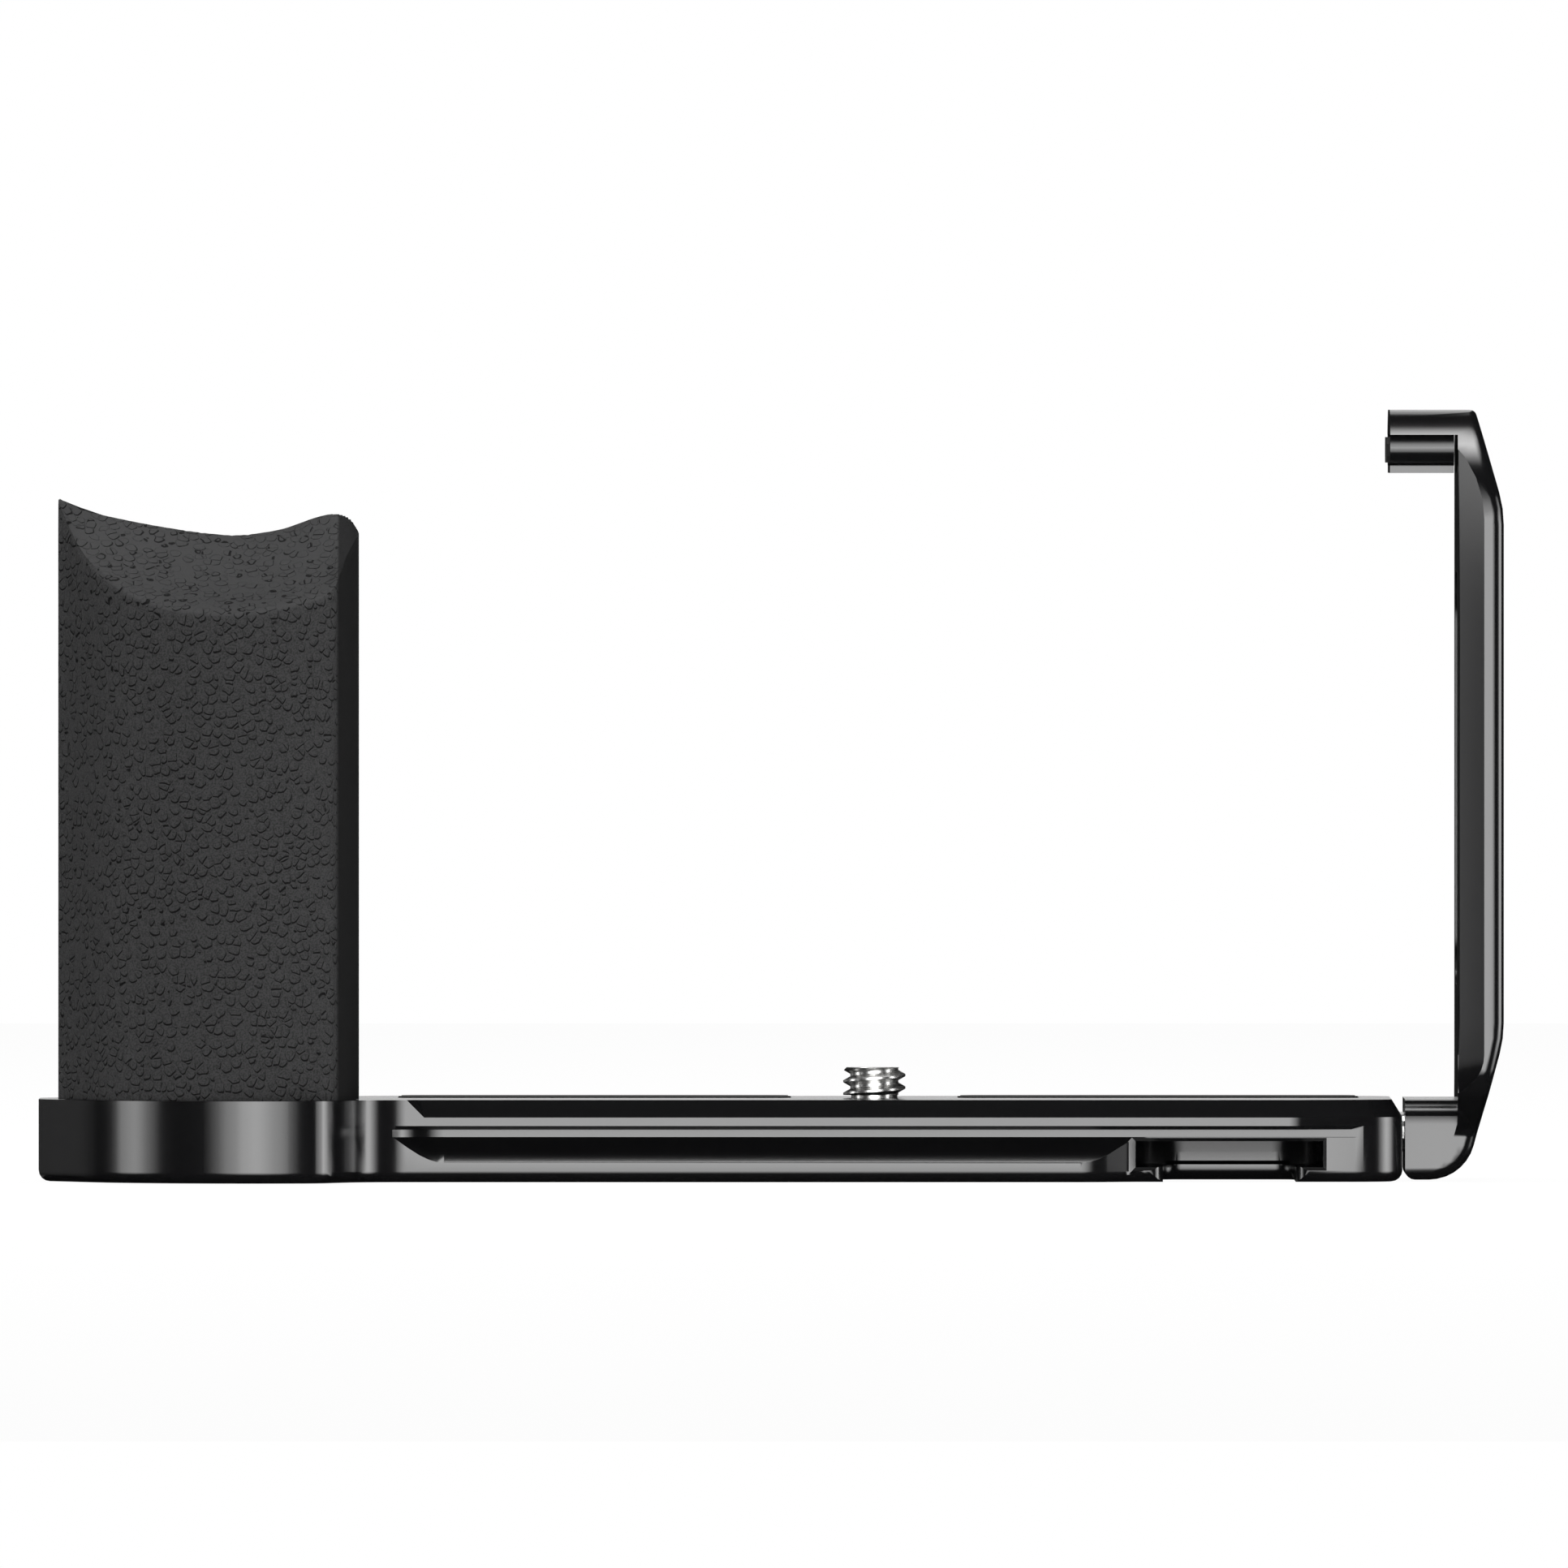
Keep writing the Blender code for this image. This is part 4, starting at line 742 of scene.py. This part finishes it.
@dataclass
class BasePlate(MilledPlate):
    """The base: its lobe's long curve, the edges along its rail and the end of its shoe.

    Each box holds the faces that a change may slice.
    """

    node: str = "base_plate"
    name: str = "milled_base_plate"
    body: str = "base"
    sharp_deg: float = 23.5
    deck_top: float = 0.00836
    rail_front: float = -0.019
    chamfer_low: float = 0.00535
    chamfer: float = 0.00038
    chamfer_span: Span = (-0.0381, 0.0335)
    chamfer_box: Box = ((-0.0386, -0.01925, 0.00525), (0.053, -0.0189, 0.00846))
    band_left: float = -0.036
    band_inset: float = 0.0011
    band_lean: float = 0.0003
    band_slack: float = 0.00012
    shoe_box: Box = ((0.0398, -0.001, -0.0001), (0.0535, 0.0023, 0.0042))
    shoe_mouth: float = -0.0001
    shoe_rows: tuple[Span, ...] = (
        (0.0, 0.00115), (0.00008, 0.00073), (0.00033, 0.00034), (0.00071, 0.00009),
        (0.00115, 0.0), (0.00155, 0.0), (0.00175, 0.0006), (0.00195, 0.0), (0.00283, 0.00005),
        (0.00415, 0.00014),
    )
    lobe: FrontEdge = FrontEdge((
        (-0.07454, -0.01016, 0.0), (-0.06275, -0.03326, 0.0193),
        (-0.04493, -0.02915, 0.0054), (-0.0424, -0.02268, 0.0),
    ))
    lobe_box: Box = ((-0.07554, -0.04, -0.001), (-0.0394, -0.009, 0.01))
    lobe_rows: int = 40
    lobe_depth: float = 0.003
    row_gap: float = 0.3
    lip_top: float = 0.002
    lip_round: float = 0.0004
    lip_steps: int = 4

    def refine(self, shape: bmesh.types.BMesh) -> None:
        """Cut the chamfer, lean the band, round the shoe's end and the lobe, and ease the lip.

        Args:
            shape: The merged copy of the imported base.
        """
        self.cut_chamfer(shape)
        self.lean_band(shape)
        self.round_shoe_end(shape)
        self.round_lobe(shape)
        self.ease_lip(shape)

    def cut_chamfer(self, shape: bmesh.types.BMesh) -> None:
        """Bevel the deck's lower front edge along the rail.

        Args:
            shape: The mesh to change.
        """
        low, high = self.chamfer_span
        top = self.chamfer_low + self.chamfer
        self.slice_at(shape, 2, top, self.chamfer_box)
        moved = 0
        for vert in shape.verts:
            in_span = low < vert.co.x < high
            in_rows = self.chamfer_low - NEAR < vert.co.z < top - NEAR
            if in_span and in_rows and vert.co.y < self.rail_front + self.chamfer:
                vert.co.y = self.rail_front + self.chamfer
                vert.co.z = self.chamfer_low
                moved += 1
        log.info("chamfer under the deck: %d points", moved)
        cleaned(shape)

    def lean_band(self, shape: bmesh.types.BMesh) -> None:
        """Set the band round the deck a little steeper.

        Args:
            shape: The mesh to change.
        """
        rim = self.rail_front + self.band_inset
        for vert in shape.verts:
            on_top = abs(vert.co.z - self.deck_top) < NEAR
            if on_top and abs(vert.co.y - rim) < self.band_slack and vert.co.x > self.band_left:
                vert.co.y -= self.band_lean

    def round_shoe_end(self, shape: bmesh.types.BMesh) -> None:
        """Round the shoe's inner end below, and groove it above its lower lip.

        Args:
            shape: The mesh to change.
        """
        for height, _ in self.shoe_rows[1:-1]:
            self.slice_at(shape, 2, height, self.shoe_box)
        (low, _, _), (high, end, _) = self.shoe_box
        for vert in shape.verts:
            if low < vert.co.x < high and self.shoe_mouth < vert.co.y < end:
                for height, back in self.shoe_rows:
                    if abs(vert.co.z - height) < NEAR:
                        vert.co.y += back
                        break

    def round_lobe(self, shape: bmesh.types.BMesh) -> None:
        """Move the lobe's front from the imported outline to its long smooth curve.

        Args:
            shape: The mesh to change.
        """
        curve = self.lobe.points()
        low, high = curve[0].x, curve[-1].x
        back = self.lobe_box[1][1]
        rim = sorted(
            (vert.co.x, vert.co.y) for vert in shape.verts
            if abs(vert.co.z - self.deck_top) < NEAR and vert.co.x < high + NEAR
            and vert.co.y < min(back, along(curve, vert.co.x) + self.lobe_depth)
        )
        step = (high - low) / self.lobe_rows
        for row in range(1, self.lobe_rows):
            place = low + step * row
            if min(abs(place - x) for x, _ in rim) > step * self.row_gap:
                self.slice_at(shape, 0, place, self.lobe_box)
        log.info("lobe: %d packed points on its rim", len(rim))
        for vert in shape.verts:
            was = along(rim, vert.co.x)
            if vert.co.x <= high and vert.co.y < min(was + self.lobe_depth, back):
                vert.co.y += along(curve, vert.co.x) - was

    def ease_lip(self, shape: bmesh.types.BMesh) -> None:
        """Round the edge where the rail's slope meets its lip.

        Args:
            shape: The mesh to change.
        """
        edges = [
            edge for edge in shape.edges
            if all(
                abs(vert.co.y - self.rail_front) < NEAR and abs(vert.co.z - self.lip_top) < NEAR
                for vert in edge.verts
            )
        ]
        log.info("rail's lip: %d edges", len(edges))
        bmesh.ops.bevel(
            shape, geom=edges, offset=self.lip_round, offset_type="OFFSET", affect="EDGES",
            segments=self.lip_steps, profile=0.5, material=-1, clamp_overlap=True,
        )


@dataclass
class SidePlate(MilledPlate):
    """The side plate: its hook's round bar and square strip, and its arm's inner bevel.

    Each box holds the faces that a change may slice.
    """

    node: str = "side_plate"
    name: str = "milled_side_plate"
    body: str = "side"
    edge_radius: float = 0.00003
    bar_face: float = 0.0139
    bar_middle: float = 0.0747
    bar_top: float = 0.0760
    bar_radius: float = 0.0026
    bar_right: float = 0.0696
    bar_rows: int = 4
    bar_box: Box = ((0.06, -0.0142, 0.0722), (0.0698, 0.0142, 0.0761))
    strip_face: float = 0.011
    strip_slack: float = 0.00034
    strip_span: Span = (0.07205, 0.07284)
    inner_side: float = 0.06996
    inner_edge: float = -0.01642
    bevel_box: Box = ((0.06991, -0.0191, 0.0129), (0.0726, -0.016, 0.0746))
    inner_box: Box = ((0.06991, -0.0165, 0.0129), (0.07001, 0.0165, 0.0761))
    inner_depths: tuple[Span, ...] = (
        (0.01295, 0.0), (0.0160, 0.00012), (0.0450, 0.00012), (0.0550, 0.00014),
        (0.0620, 0.00012), (0.0680, 0.00008), (0.0715, 0.00002), (0.07447, 0.0),
    )

    def refine(self, shape: bmesh.types.BMesh) -> None:
        """Round the hook's bar, square its strip, and deepen the arm's bevel.

        Args:
            shape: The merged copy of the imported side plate.
        """
        self.round_bar(shape)
        self.square_strip(shape)
        self.deepen_bevel(shape)

    def round_bar(self, shape: bmesh.types.BMesh) -> None:
        """Round the upper half of the hook's bar, front and back.

        Args:
            shape: The mesh to change.
        """
        for row in range(self.bar_rows):
            place = self.bar_middle + (self.bar_top - self.bar_middle) * row / self.bar_rows
            self.slice_at(shape, 2, place, self.bar_box)
        for vert in shape.verts:
            above = vert.co.z - self.bar_middle
            on_face = abs(abs(vert.co.y) - self.bar_face) < NEAR
            in_rows = 0.0 < above < self.bar_top - self.bar_middle + NEAR
            if on_face and in_rows and vert.co.x < self.bar_right:
                back = self.bar_radius - math.sqrt(self.bar_radius**2 - above**2)
                vert.co.y -= math.copysign(back, vert.co.y)

    def square_strip(self, shape: bmesh.types.BMesh) -> None:
        """Make the narrow strip under the bar flat on its front and back.

        Args:
            shape: The mesh to change.
        """
        low, high = self.strip_span
        for vert in shape.verts:
            on_strip = abs(abs(vert.co.y) - self.strip_face) < self.strip_slack
            if on_strip and low < vert.co.z < high and vert.co.x < self.bar_right:
                vert.co.y = math.copysign(self.strip_face, vert.co.y)

    def deepen_bevel(self, shape: bmesh.types.BMesh) -> None:
        """Draw the arm's inner edge back by a little, by its height up the arm.

        Args:
            shape: The mesh to change.
        """
        for height, _ in self.inner_depths[1:-1]:
            self.slice_at(shape, 2, height, self.bevel_box)
            self.slice_at(shape, 2, height, self.inner_box)
        for vert in shape.verts:
            on_side = abs(vert.co.x - self.inner_side) < NEAR
            if on_side and abs(vert.co.y - self.inner_edge) < NEAR:
                vert.co.y += along(self.inner_depths, vert.co.z)


@dataclass
class HandGrip:
    """The moulded grip: its rubber skin, and the metal core, screws and dowels inside it."""

    node: str = "grip_sleeve"
    name: str = "grip_skin"
    flat_deg: float = 0.5
    crease_deg: float = 42.0
    crease: float = 0.6
    levels: int = 2
    packed_foot: float = 0.00866
    finished_foot: float = 0.00838
    foot_slack: float = 0.0005
    fixings: tuple[str, ...] = (
        "grip_screw_left", "grip_screw_right", "grip_dowel_left", "grip_dowel_right",
    )

    def build(self, shop: Workshop) -> bpy.types.Object:
        """Make the skin and dress what it hides.

        Args:
            shop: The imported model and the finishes.

        Returns:
            The skin's piece.
        """
        shape = shop.merged(self.node, self.flat_deg)
        for vert in shape.verts:
            if abs(vert.co.z - self.packed_foot) < NEAR:
                vert.co.z = self.finished_foot
        creases = shape.edges.layers.float.new("crease_edge")
        foot = self.finished_foot + self.foot_slack
        for edge in shape.edges:
            if edge.calc_face_angle(math.pi) > math.radians(self.crease_deg):
                at_foot = all(vert.co.z < foot for vert in edge.verts)
                edge[creases] = 1.0 if at_foot else self.crease
        skin = shop.piece(
            self.name, shape, Finish.GRIP_RUBBER, "base", self.node, self.crease_deg
        )
        smoother = skin.modifiers.new("moulded_curves", "SUBSURF")
        smoother.levels = self.levels
        smoother.render_levels = self.levels
        shop.dress(["grip_core"], Finish.ANODISED)
        shop.dress(self.fixings, Finish.DARK_STEEL)
        return skin


@dataclass
class CameraScrew:
    """The captive camera screw: a 1/4-20 thread on a neck, and a flat head with a hexagon."""

    node: str = "camera_screw"
    name: str = "threaded_screw"
    washer: str = "screw_washer"
    axis_x: float = 0.01056
    thread_radius: float = 0.003175
    root_radius: float = 0.00245
    pitch: float = 0.00127
    crest_share: float = 0.16
    root_share: float = 0.2
    thread_foot: float = 0.00866
    thread_top: float = 0.0115
    tip_chamfer: float = 0.00035
    neck_radius: float = 0.00235
    head_radius: float = 0.0065
    head_low: float = 0.0005
    head_top: float = 0.0026
    head_break: float = 0.0004
    hexagon_radius: float = 0.0023
    hexagon_depth: float = 0.0014
    steps: int = 48
    thread_merge: float = 0.000005
    sharp_deg: float = 28.0

    def spun(self, profile: list[Span], rise: float, merge: float) -> bmesh.types.BMesh:
        """Spin a profile once round the screw's axis.

        Args:
            profile: Its (radius, height) points.
            rise: How far it climbs in one turn.
            merge: Points closer than this become one.

        Returns:
            The new surface.
        """
        part = bmesh.new()
        verts = [part.verts.new((self.axis_x + radius, 0.0, z)) for radius, z in profile]
        edges = [part.edges.new(pair) for pair in zip(verts, verts[1:])]
        bmesh.ops.spin(
            part, geom=[*verts, *edges], cent=(self.axis_x, 0.0, 0.0), axis=(0.0, 0.0, 1.0),
            dvec=(0.0, 0.0, rise / self.steps), angle=math.tau, steps=self.steps,
            use_merge=rise == 0.0,
        )
        bmesh.ops.remove_doubles(part, verts=part.verts, dist=merge)
        return part

    def thread(self, shape: bmesh.types.BMesh) -> None:
        """Spin the thread's profile up a helix, and trim it to its length.

        Args:
            shape: The mesh to add the thread to.
        """
        profile = []
        height = self.thread_foot - 2 * self.pitch
        flank = (1 - self.crest_share - self.root_share) / 2
        while height < self.thread_top + self.pitch:
            rise = height + (self.root_share + flank) * self.pitch
            profile += [
                (self.root_radius, height),
                (self.root_radius, height + self.root_share * self.pitch),
                (self.thread_radius, rise),
                (self.thread_radius, rise + self.crest_share * self.pitch),
            ]
            height += self.pitch
        part = self.spun(profile, self.pitch, self.thread_merge)
        up = Vector((0.0, 0.0, 1.0))
        for z, outward in ((self.thread_foot, -up), (self.thread_top, up)):
            bmesh.ops.contextual_create(part, geom=trimmed(part, up * z, outward))
        self.chamfer_tip(part)
        self.join(shape, part)

    def chamfer_tip(self, part: bmesh.types.BMesh) -> None:
        """Draw the thread in to a chamfer at its tip.

        Args:
            part: The thread.
        """
        shoulder = self.thread_top - self.tip_chamfer
        bmesh.ops.bisect_plane(
            part, geom=[*part.verts, *part.edges, *part.faces],
            plane_co=(0.0, 0.0, shoulder), plane_no=(0.0, 0.0, 1.0),
        )
        for vert in part.verts:
            reach = math.hypot(vert.co.x - self.axis_x, vert.co.y)
            limit = self.thread_radius - max(vert.co.z - shoulder, 0.0)
            if reach > limit:
                vert.co.x = self.axis_x + (vert.co.x - self.axis_x) * limit / reach
                vert.co.y *= limit / reach

    def shank(self, shape: bmesh.types.BMesh) -> None:
        """Turn the neck and the head, and sink the hexagon into the head.

        Args:
            shape: The mesh to add them to.
        """
        part = self.spun([
            (self.neck_radius, self.thread_foot),
            (self.neck_radius, self.head_top),
            (self.head_radius - self.head_break, self.head_top),
            (self.head_radius, self.head_top - self.head_break),
            (self.head_radius, self.head_low + self.head_break),
            (self.head_radius - self.head_break, self.head_low),
        ], 0.0, MERGE)
        rims = [edge for edge in part.edges if edge.is_boundary]
        underside = [edge for edge in rims if edge.verts[0].co.z < self.head_top]
        neck = [edge for edge in rims if edge.verts[0].co.z > self.head_top]
        hexagon = bmesh.ops.create_circle(
            part, cap_ends=False, segments=6, radius=self.hexagon_radius,
            matrix=Matrix.Translation((self.axis_x, 0.0, self.head_low)),
        )["verts"]
        mouth = list(dict.fromkeys(edge for vert in hexagon for edge in vert.link_edges))
        bmesh.ops.bridge_loops(part, edges=[*underside, *mouth])
        walls = bmesh.ops.extrude_edge_only(part, edges=mouth)["geom"]
        floor = [item for item in walls if isinstance(item, bmesh.types.BMVert)]
        bmesh.ops.translate(part, verts=floor, vec=(0.0, 0.0, self.hexagon_depth))
        bmesh.ops.contextual_create(part, geom=floor)
        bmesh.ops.contextual_create(part, geom=neck)
        self.join(shape, part)

    @staticmethod
    def join(shape: bmesh.types.BMesh, part: bmesh.types.BMesh) -> None:
        """Add one closed part to the screw's mesh.

        Args:
            shape: The mesh that grows.
            part: The part, which is used up.
        """
        bmesh.ops.recalc_face_normals(part, faces=part.faces)
        mesh = bpy.data.meshes.new("part_of_screw")
        part.to_mesh(mesh)
        part.free()
        shape.from_mesh(mesh)
        bpy.data.meshes.remove(mesh)

    def build(self, shop: Workshop) -> bpy.types.Object:
        """Make the screw, and dress its washer.

        Args:
            shop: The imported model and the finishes.

        Returns:
            The screw's piece.
        """
        shape = bmesh.new()
        self.thread(shape)
        self.shank(shape)
        shop.dress([self.washer], Finish.DARK_STEEL)
        return shop.piece(self.name, shape, Finish.STEEL, "screw", self.node, self.sharp_deg)


@dataclass
class Rig:
    """The rods, set screws and pads, of which only the foot's set screws change."""

    rods: tuple[str, ...] = ("guide_rod_front", "guide_rod_rear")
    screws: tuple[str, ...] = ("lock_screw_front", "lock_screw_rear")
    pads: tuple[str, ...] = ("deck_pad_left", "deck_pad_right", "hook_pad")
    ends: tuple[str, ...] = ("front", "rear")
    flat_deg: float = 0.1
    sharp_deg: float = 30.0
    heel: Point = (0.06706, 0.0, 0.00483)
    heel_radius: float = 0.0046
    heel_turns: tuple[float, ...] = (8, 20, 32, 44, 56, 68)
    slack: float = 0.0000001

    def build(self, shop: Workshop) -> None:
        """Dress them all, and cut the foot's set screws flush with its round heel.

        Args:
            shop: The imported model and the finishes.
        """
        shop.dress(self.rods, Finish.STEEL)
        shop.dress(self.screws, Finish.DARK_STEEL)
        shop.dress(self.pads, Finish.PAD_RUBBER)
        for end in self.ends:
            node = f"rod_grub_{end}"
            shape = shop.merged(node, self.flat_deg)
            self.cut_flush(shape)
            shop.piece(
                f"flush_grub_{end}", shape, Finish.DARK_STEEL, "side", node, self.sharp_deg
            )

    def cut_flush(self, shape: bmesh.types.BMesh) -> None:
        """Take off what stands out of the heel, plane by plane round its arc.

        Args:
            shape: The mesh to change.
        """
        for turn in map(math.radians, self.heel_turns):
            way = Vector((math.sin(turn), 0.0, -math.cos(turn)))
            rim = trimmed(shape, Vector(self.heel) + way * self.heel_radius, way, self.slack)
            if rim:
                bmesh.ops.triangle_fill(shape, use_beauty=True, edges=rim, normal=way)
        bmesh.ops.recalc_face_normals(shape, faces=shape.faces)


@dataclass(frozen=True)
class Softbox:
    """One soft lamp, on a sphere round the bracket.

    Its turn is measured from the front towards the side plate, and its rise from the level. The
    share is its brightness, as a share of the studio's. The fade is the tangent of the angle at
    which its light has died away.
    """

    name: str
    turn_deg: float
    rise_deg: float
    share: float
    fade: float

    def build(self, centre: Vector, distance: float, radiance: float) -> None:
        """Make the lamp, brightest in its middle, which is mirrored but isn't seen itself.

        Args:
            centre: What it is aimed at.
            distance: How far off it hangs.
            radiance: The studio's brightness.
        """
        turn, rise = math.radians(self.turn_deg), math.radians(self.rise_deg)
        way = Vector((
            math.sin(turn) * math.cos(rise), -math.cos(turn) * math.cos(rise), math.sin(rise)
        ))
        half = math.atan(self.fade)
        focus = self.fade / (self.fade - half)
        data = bpy.data.lights.new(self.name, "AREA")
        data.shape = "DISK"
        data.size = 2 * distance * self.fade
        data.spread = 2 * half
        data.energy = radiance * self.share / focus * math.pi * math.pi * data.size**2 / 4
        lamp = bpy.data.objects.new(self.name, data)
        lamp.location = centre + way * distance
        lamp.rotation_euler = (-way).to_track_quat("-Z", "Y").to_euler()
        lamp.visible_camera = False
        bpy.context.scene.collection.objects.link(lamp)


@dataclass
class Studio:
    """The photograph's studio: a pale table, softboxes and dark cloth round them."""

    aim: Point = (0.00135, -0.019, 0.0405)
    distance: float = 6.0
    lift: float = 0.0397
    frame_width: float = 0.1594
    sensor: float = 36.0
    clip: Span = (0.1, 30.0)
    lamp_aim: Point = (0.0, -0.019, 0.04)
    lamp_distance: float = 2.0
    radiance: float = 9.6
    softboxes: tuple[Softbox, ...] = (
        Softbox("front_box", 0.0, 0.0, share=1.3, fade=0.54),
        Softbox("top_box", 0.0, 90.0, share=1.7, fade=0.52),
        Softbox("left_box", -79.5, 0.0, share=0.8, fade=0.35),
        Softbox("right_box", 84.0, 0.0, share=1.2, fade=0.45),
        Softbox("flank_box", -136.0, 0.0, share=0.03, fade=0.42),
    )
    table_side: float = 3.0
    table_drop: float = 0.00005
    table_tone: Colour = (0.86, 0.86, 0.86)
    table_white: float = 0.97
    cloth_radius: float = 3.4
    cloth_height: float = 2.6
    cloth_tone: Colour = (0.02, 0.02, 0.02)
    cloth_roughness: float = 0.9
    cloth_step_deg: float = 5.0
    lid_sides: int = 64
    open_deg: float = 3.0
    slit_foot: float = 0.12
    slit_head: float = 2.2
    room_light: float = 0.4

    def camera(self) -> None:
        """Stand the camera where the photograph's stood, far off and almost level."""
        data = bpy.data.cameras.new("camera")
        data.sensor_width = self.sensor
        away = math.hypot(self.distance, self.lift)
        data.lens = self.sensor * away / self.frame_width
        data.clip_start, data.clip_end = self.clip
        camera = bpy.data.objects.new("camera", data)
        camera.location = (self.aim[0], self.aim[1] - self.distance, self.aim[2] + self.lift)
        way = Vector(self.aim) - camera.location
        camera.rotation_euler = way.to_track_quat("-Z", "Y").to_euler()
        bpy.context.scene.collection.objects.link(camera)
        bpy.context.scene.camera = camera

    def lamps(self) -> None:
        """Hang the softboxes in front, overhead and at both sides, each fading to its rim."""
        for softbox in self.softboxes:
            softbox.build(Vector(self.lamp_aim), self.lamp_distance, self.radiance)

    @staticmethod
    def seen_white(recipe: Recipe) -> Value:
        """Return 1 for what the camera sees directly, or in metal or through glass."""
        path = recipe.node("ShaderNodeLightPath").outputs
        seen = Value(recipe, path["Is Camera Ray"]).at_least(
            Value(recipe, path["Is Glossy Ray"])
        )
        return seen.at_least(Value(recipe, path["Is Transmission Ray"]))

    def table(self) -> None:
        """Lay the pale table top, which keeps the bracket's shadow but lets the lamps past."""
        shape = bmesh.new()
        bmesh.ops.create_grid(
            shape, x_segments=1, y_segments=1, size=self.table_side / 2,
            matrix=Matrix.Translation((0.0, 0.0, -self.table_drop)),
        )
        recipe, material = Recipe.for_material("pale_table")
        cloth = recipe.node(
            "ShaderNodeBsdfDiffuse", {}, {"Color": (*self.table_tone, 1.0)}
        ).outputs["BSDF"]
        glow = recipe.node(
            "ShaderNodeEmission", {}, {"Color": (1.0, 1.0, 1.0, 1.0), "Strength": 1.0}
        ).outputs["Emission"]
        share = self.seen_white(recipe) * self.table_white
        mix = recipe.node("ShaderNodeMixShader", {}, {0: share, 1: cloth, 2: glow})
        recipe.node("ShaderNodeOutputMaterial", {}, {"Surface": mix.outputs["Shader"]})
        table = self.set_piece("table_top", shape, material)
        table.visible_glossy = False
        table.visible_shadow = False

    def cloth(self) -> None:
        """Hang dark cloth round the lamps, with a slit behind that the camera doesn't see."""
        shape = bmesh.new()
        for first, last, foot_z, head_z in (
            (self.open_deg, 360.0 - self.open_deg, -self.cloth_height, self.cloth_height),
            (-self.open_deg, self.open_deg, -self.cloth_height, self.slit_foot),
            (-self.open_deg, self.open_deg, self.slit_head, self.cloth_height),
        ):
            start = Matrix.Rotation(math.radians(first), 3, "Z") @ Vector((0.0, 1.0, 0.0))
            foot = shape.verts.new((*(start.xy * self.cloth_radius), foot_z))
            head = shape.verts.new((*(start.xy * self.cloth_radius), head_z))
            edge = shape.edges.new((foot, head))
            bmesh.ops.spin(
                shape, geom=[foot, head, edge], cent=(0.0, 0.0, 0.0), axis=(0.0, 0.0, 1.0),
                dvec=(0.0, 0.0, 0.0), angle=math.radians(last - first),
                steps=max(2, round((last - first) / self.cloth_step_deg)), use_merge=False,
            )
        for height in (-self.cloth_height, self.cloth_height):
            bmesh.ops.create_circle(
                shape, cap_ends=True, segments=self.lid_sides, radius=self.cloth_radius,
                matrix=Matrix.Translation((0.0, 0.0, height)),
            )
        recipe, material = Recipe.for_material("dark_cloth")
        recipe.surface({
            "Base Color": (*self.cloth_tone, 1.0), "Roughness": self.cloth_roughness
        })
        tent = self.set_piece("dark_tent", shape, material)
        tent.visible_camera = False

    @staticmethod
    def set_piece(
        name: str, shape: bmesh.types.BMesh, material: bpy.types.Material
    ) -> bpy.types.Object:
        """Add one thing of the studio, which isn't part of the bracket.

        Args:
            name: Its name.
            shape: Its mesh, which is used up.
            material: Its material.

        Returns:
            The new object.
        """
        mesh = bpy.data.meshes.new(name)
        shape.to_mesh(mesh)
        shape.free()
        mesh.materials.append(material)
        item = bpy.data.objects.new(name, mesh)
        bpy.context.scene.collection.objects.link(item)
        return item

    def world(self) -> None:
        """Light the room evenly, and show it white."""
        world = bpy.data.worlds.new("white_room")
        bpy.context.scene.world = world
        world.use_nodes = True
        recipe = Recipe(world.node_tree)
        strength = self.room_light + self.seen_white(recipe) * (1.0 - self.room_light)
        glow = recipe.node(
            "ShaderNodeBackground", {}, {"Color": (1.0, 1.0, 1.0, 1.0), "Strength": strength}
        )
        recipe.node("ShaderNodeOutputWorld", {}, {"Surface": glow.outputs["Background"]})

    def build(self) -> None:
        """Set up the whole studio, at a plain exposure."""
        self.camera()
        self.lamps()
        self.table()
        self.cloth()
        self.world()
        bpy.context.scene.view_settings.view_transform = "Standard"


def main() -> None:
    """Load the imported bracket, finish its pieces one by one, and set up the studio."""
    logging.basicConfig(level=logging.INFO, format="%(name)s: %(message)s")
    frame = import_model()
    finishes = {finish: finish.build() for finish in Finish}
    shop = Workshop(frame["nodes"], finishes)
    Studio().build()
    BasePlate().build(shop)
    SidePlate().build(shop)
    HandGrip().build(shop)
    CameraScrew().build(shop)
    Rig().build(shop)


if __name__ == "__main__":
    main()
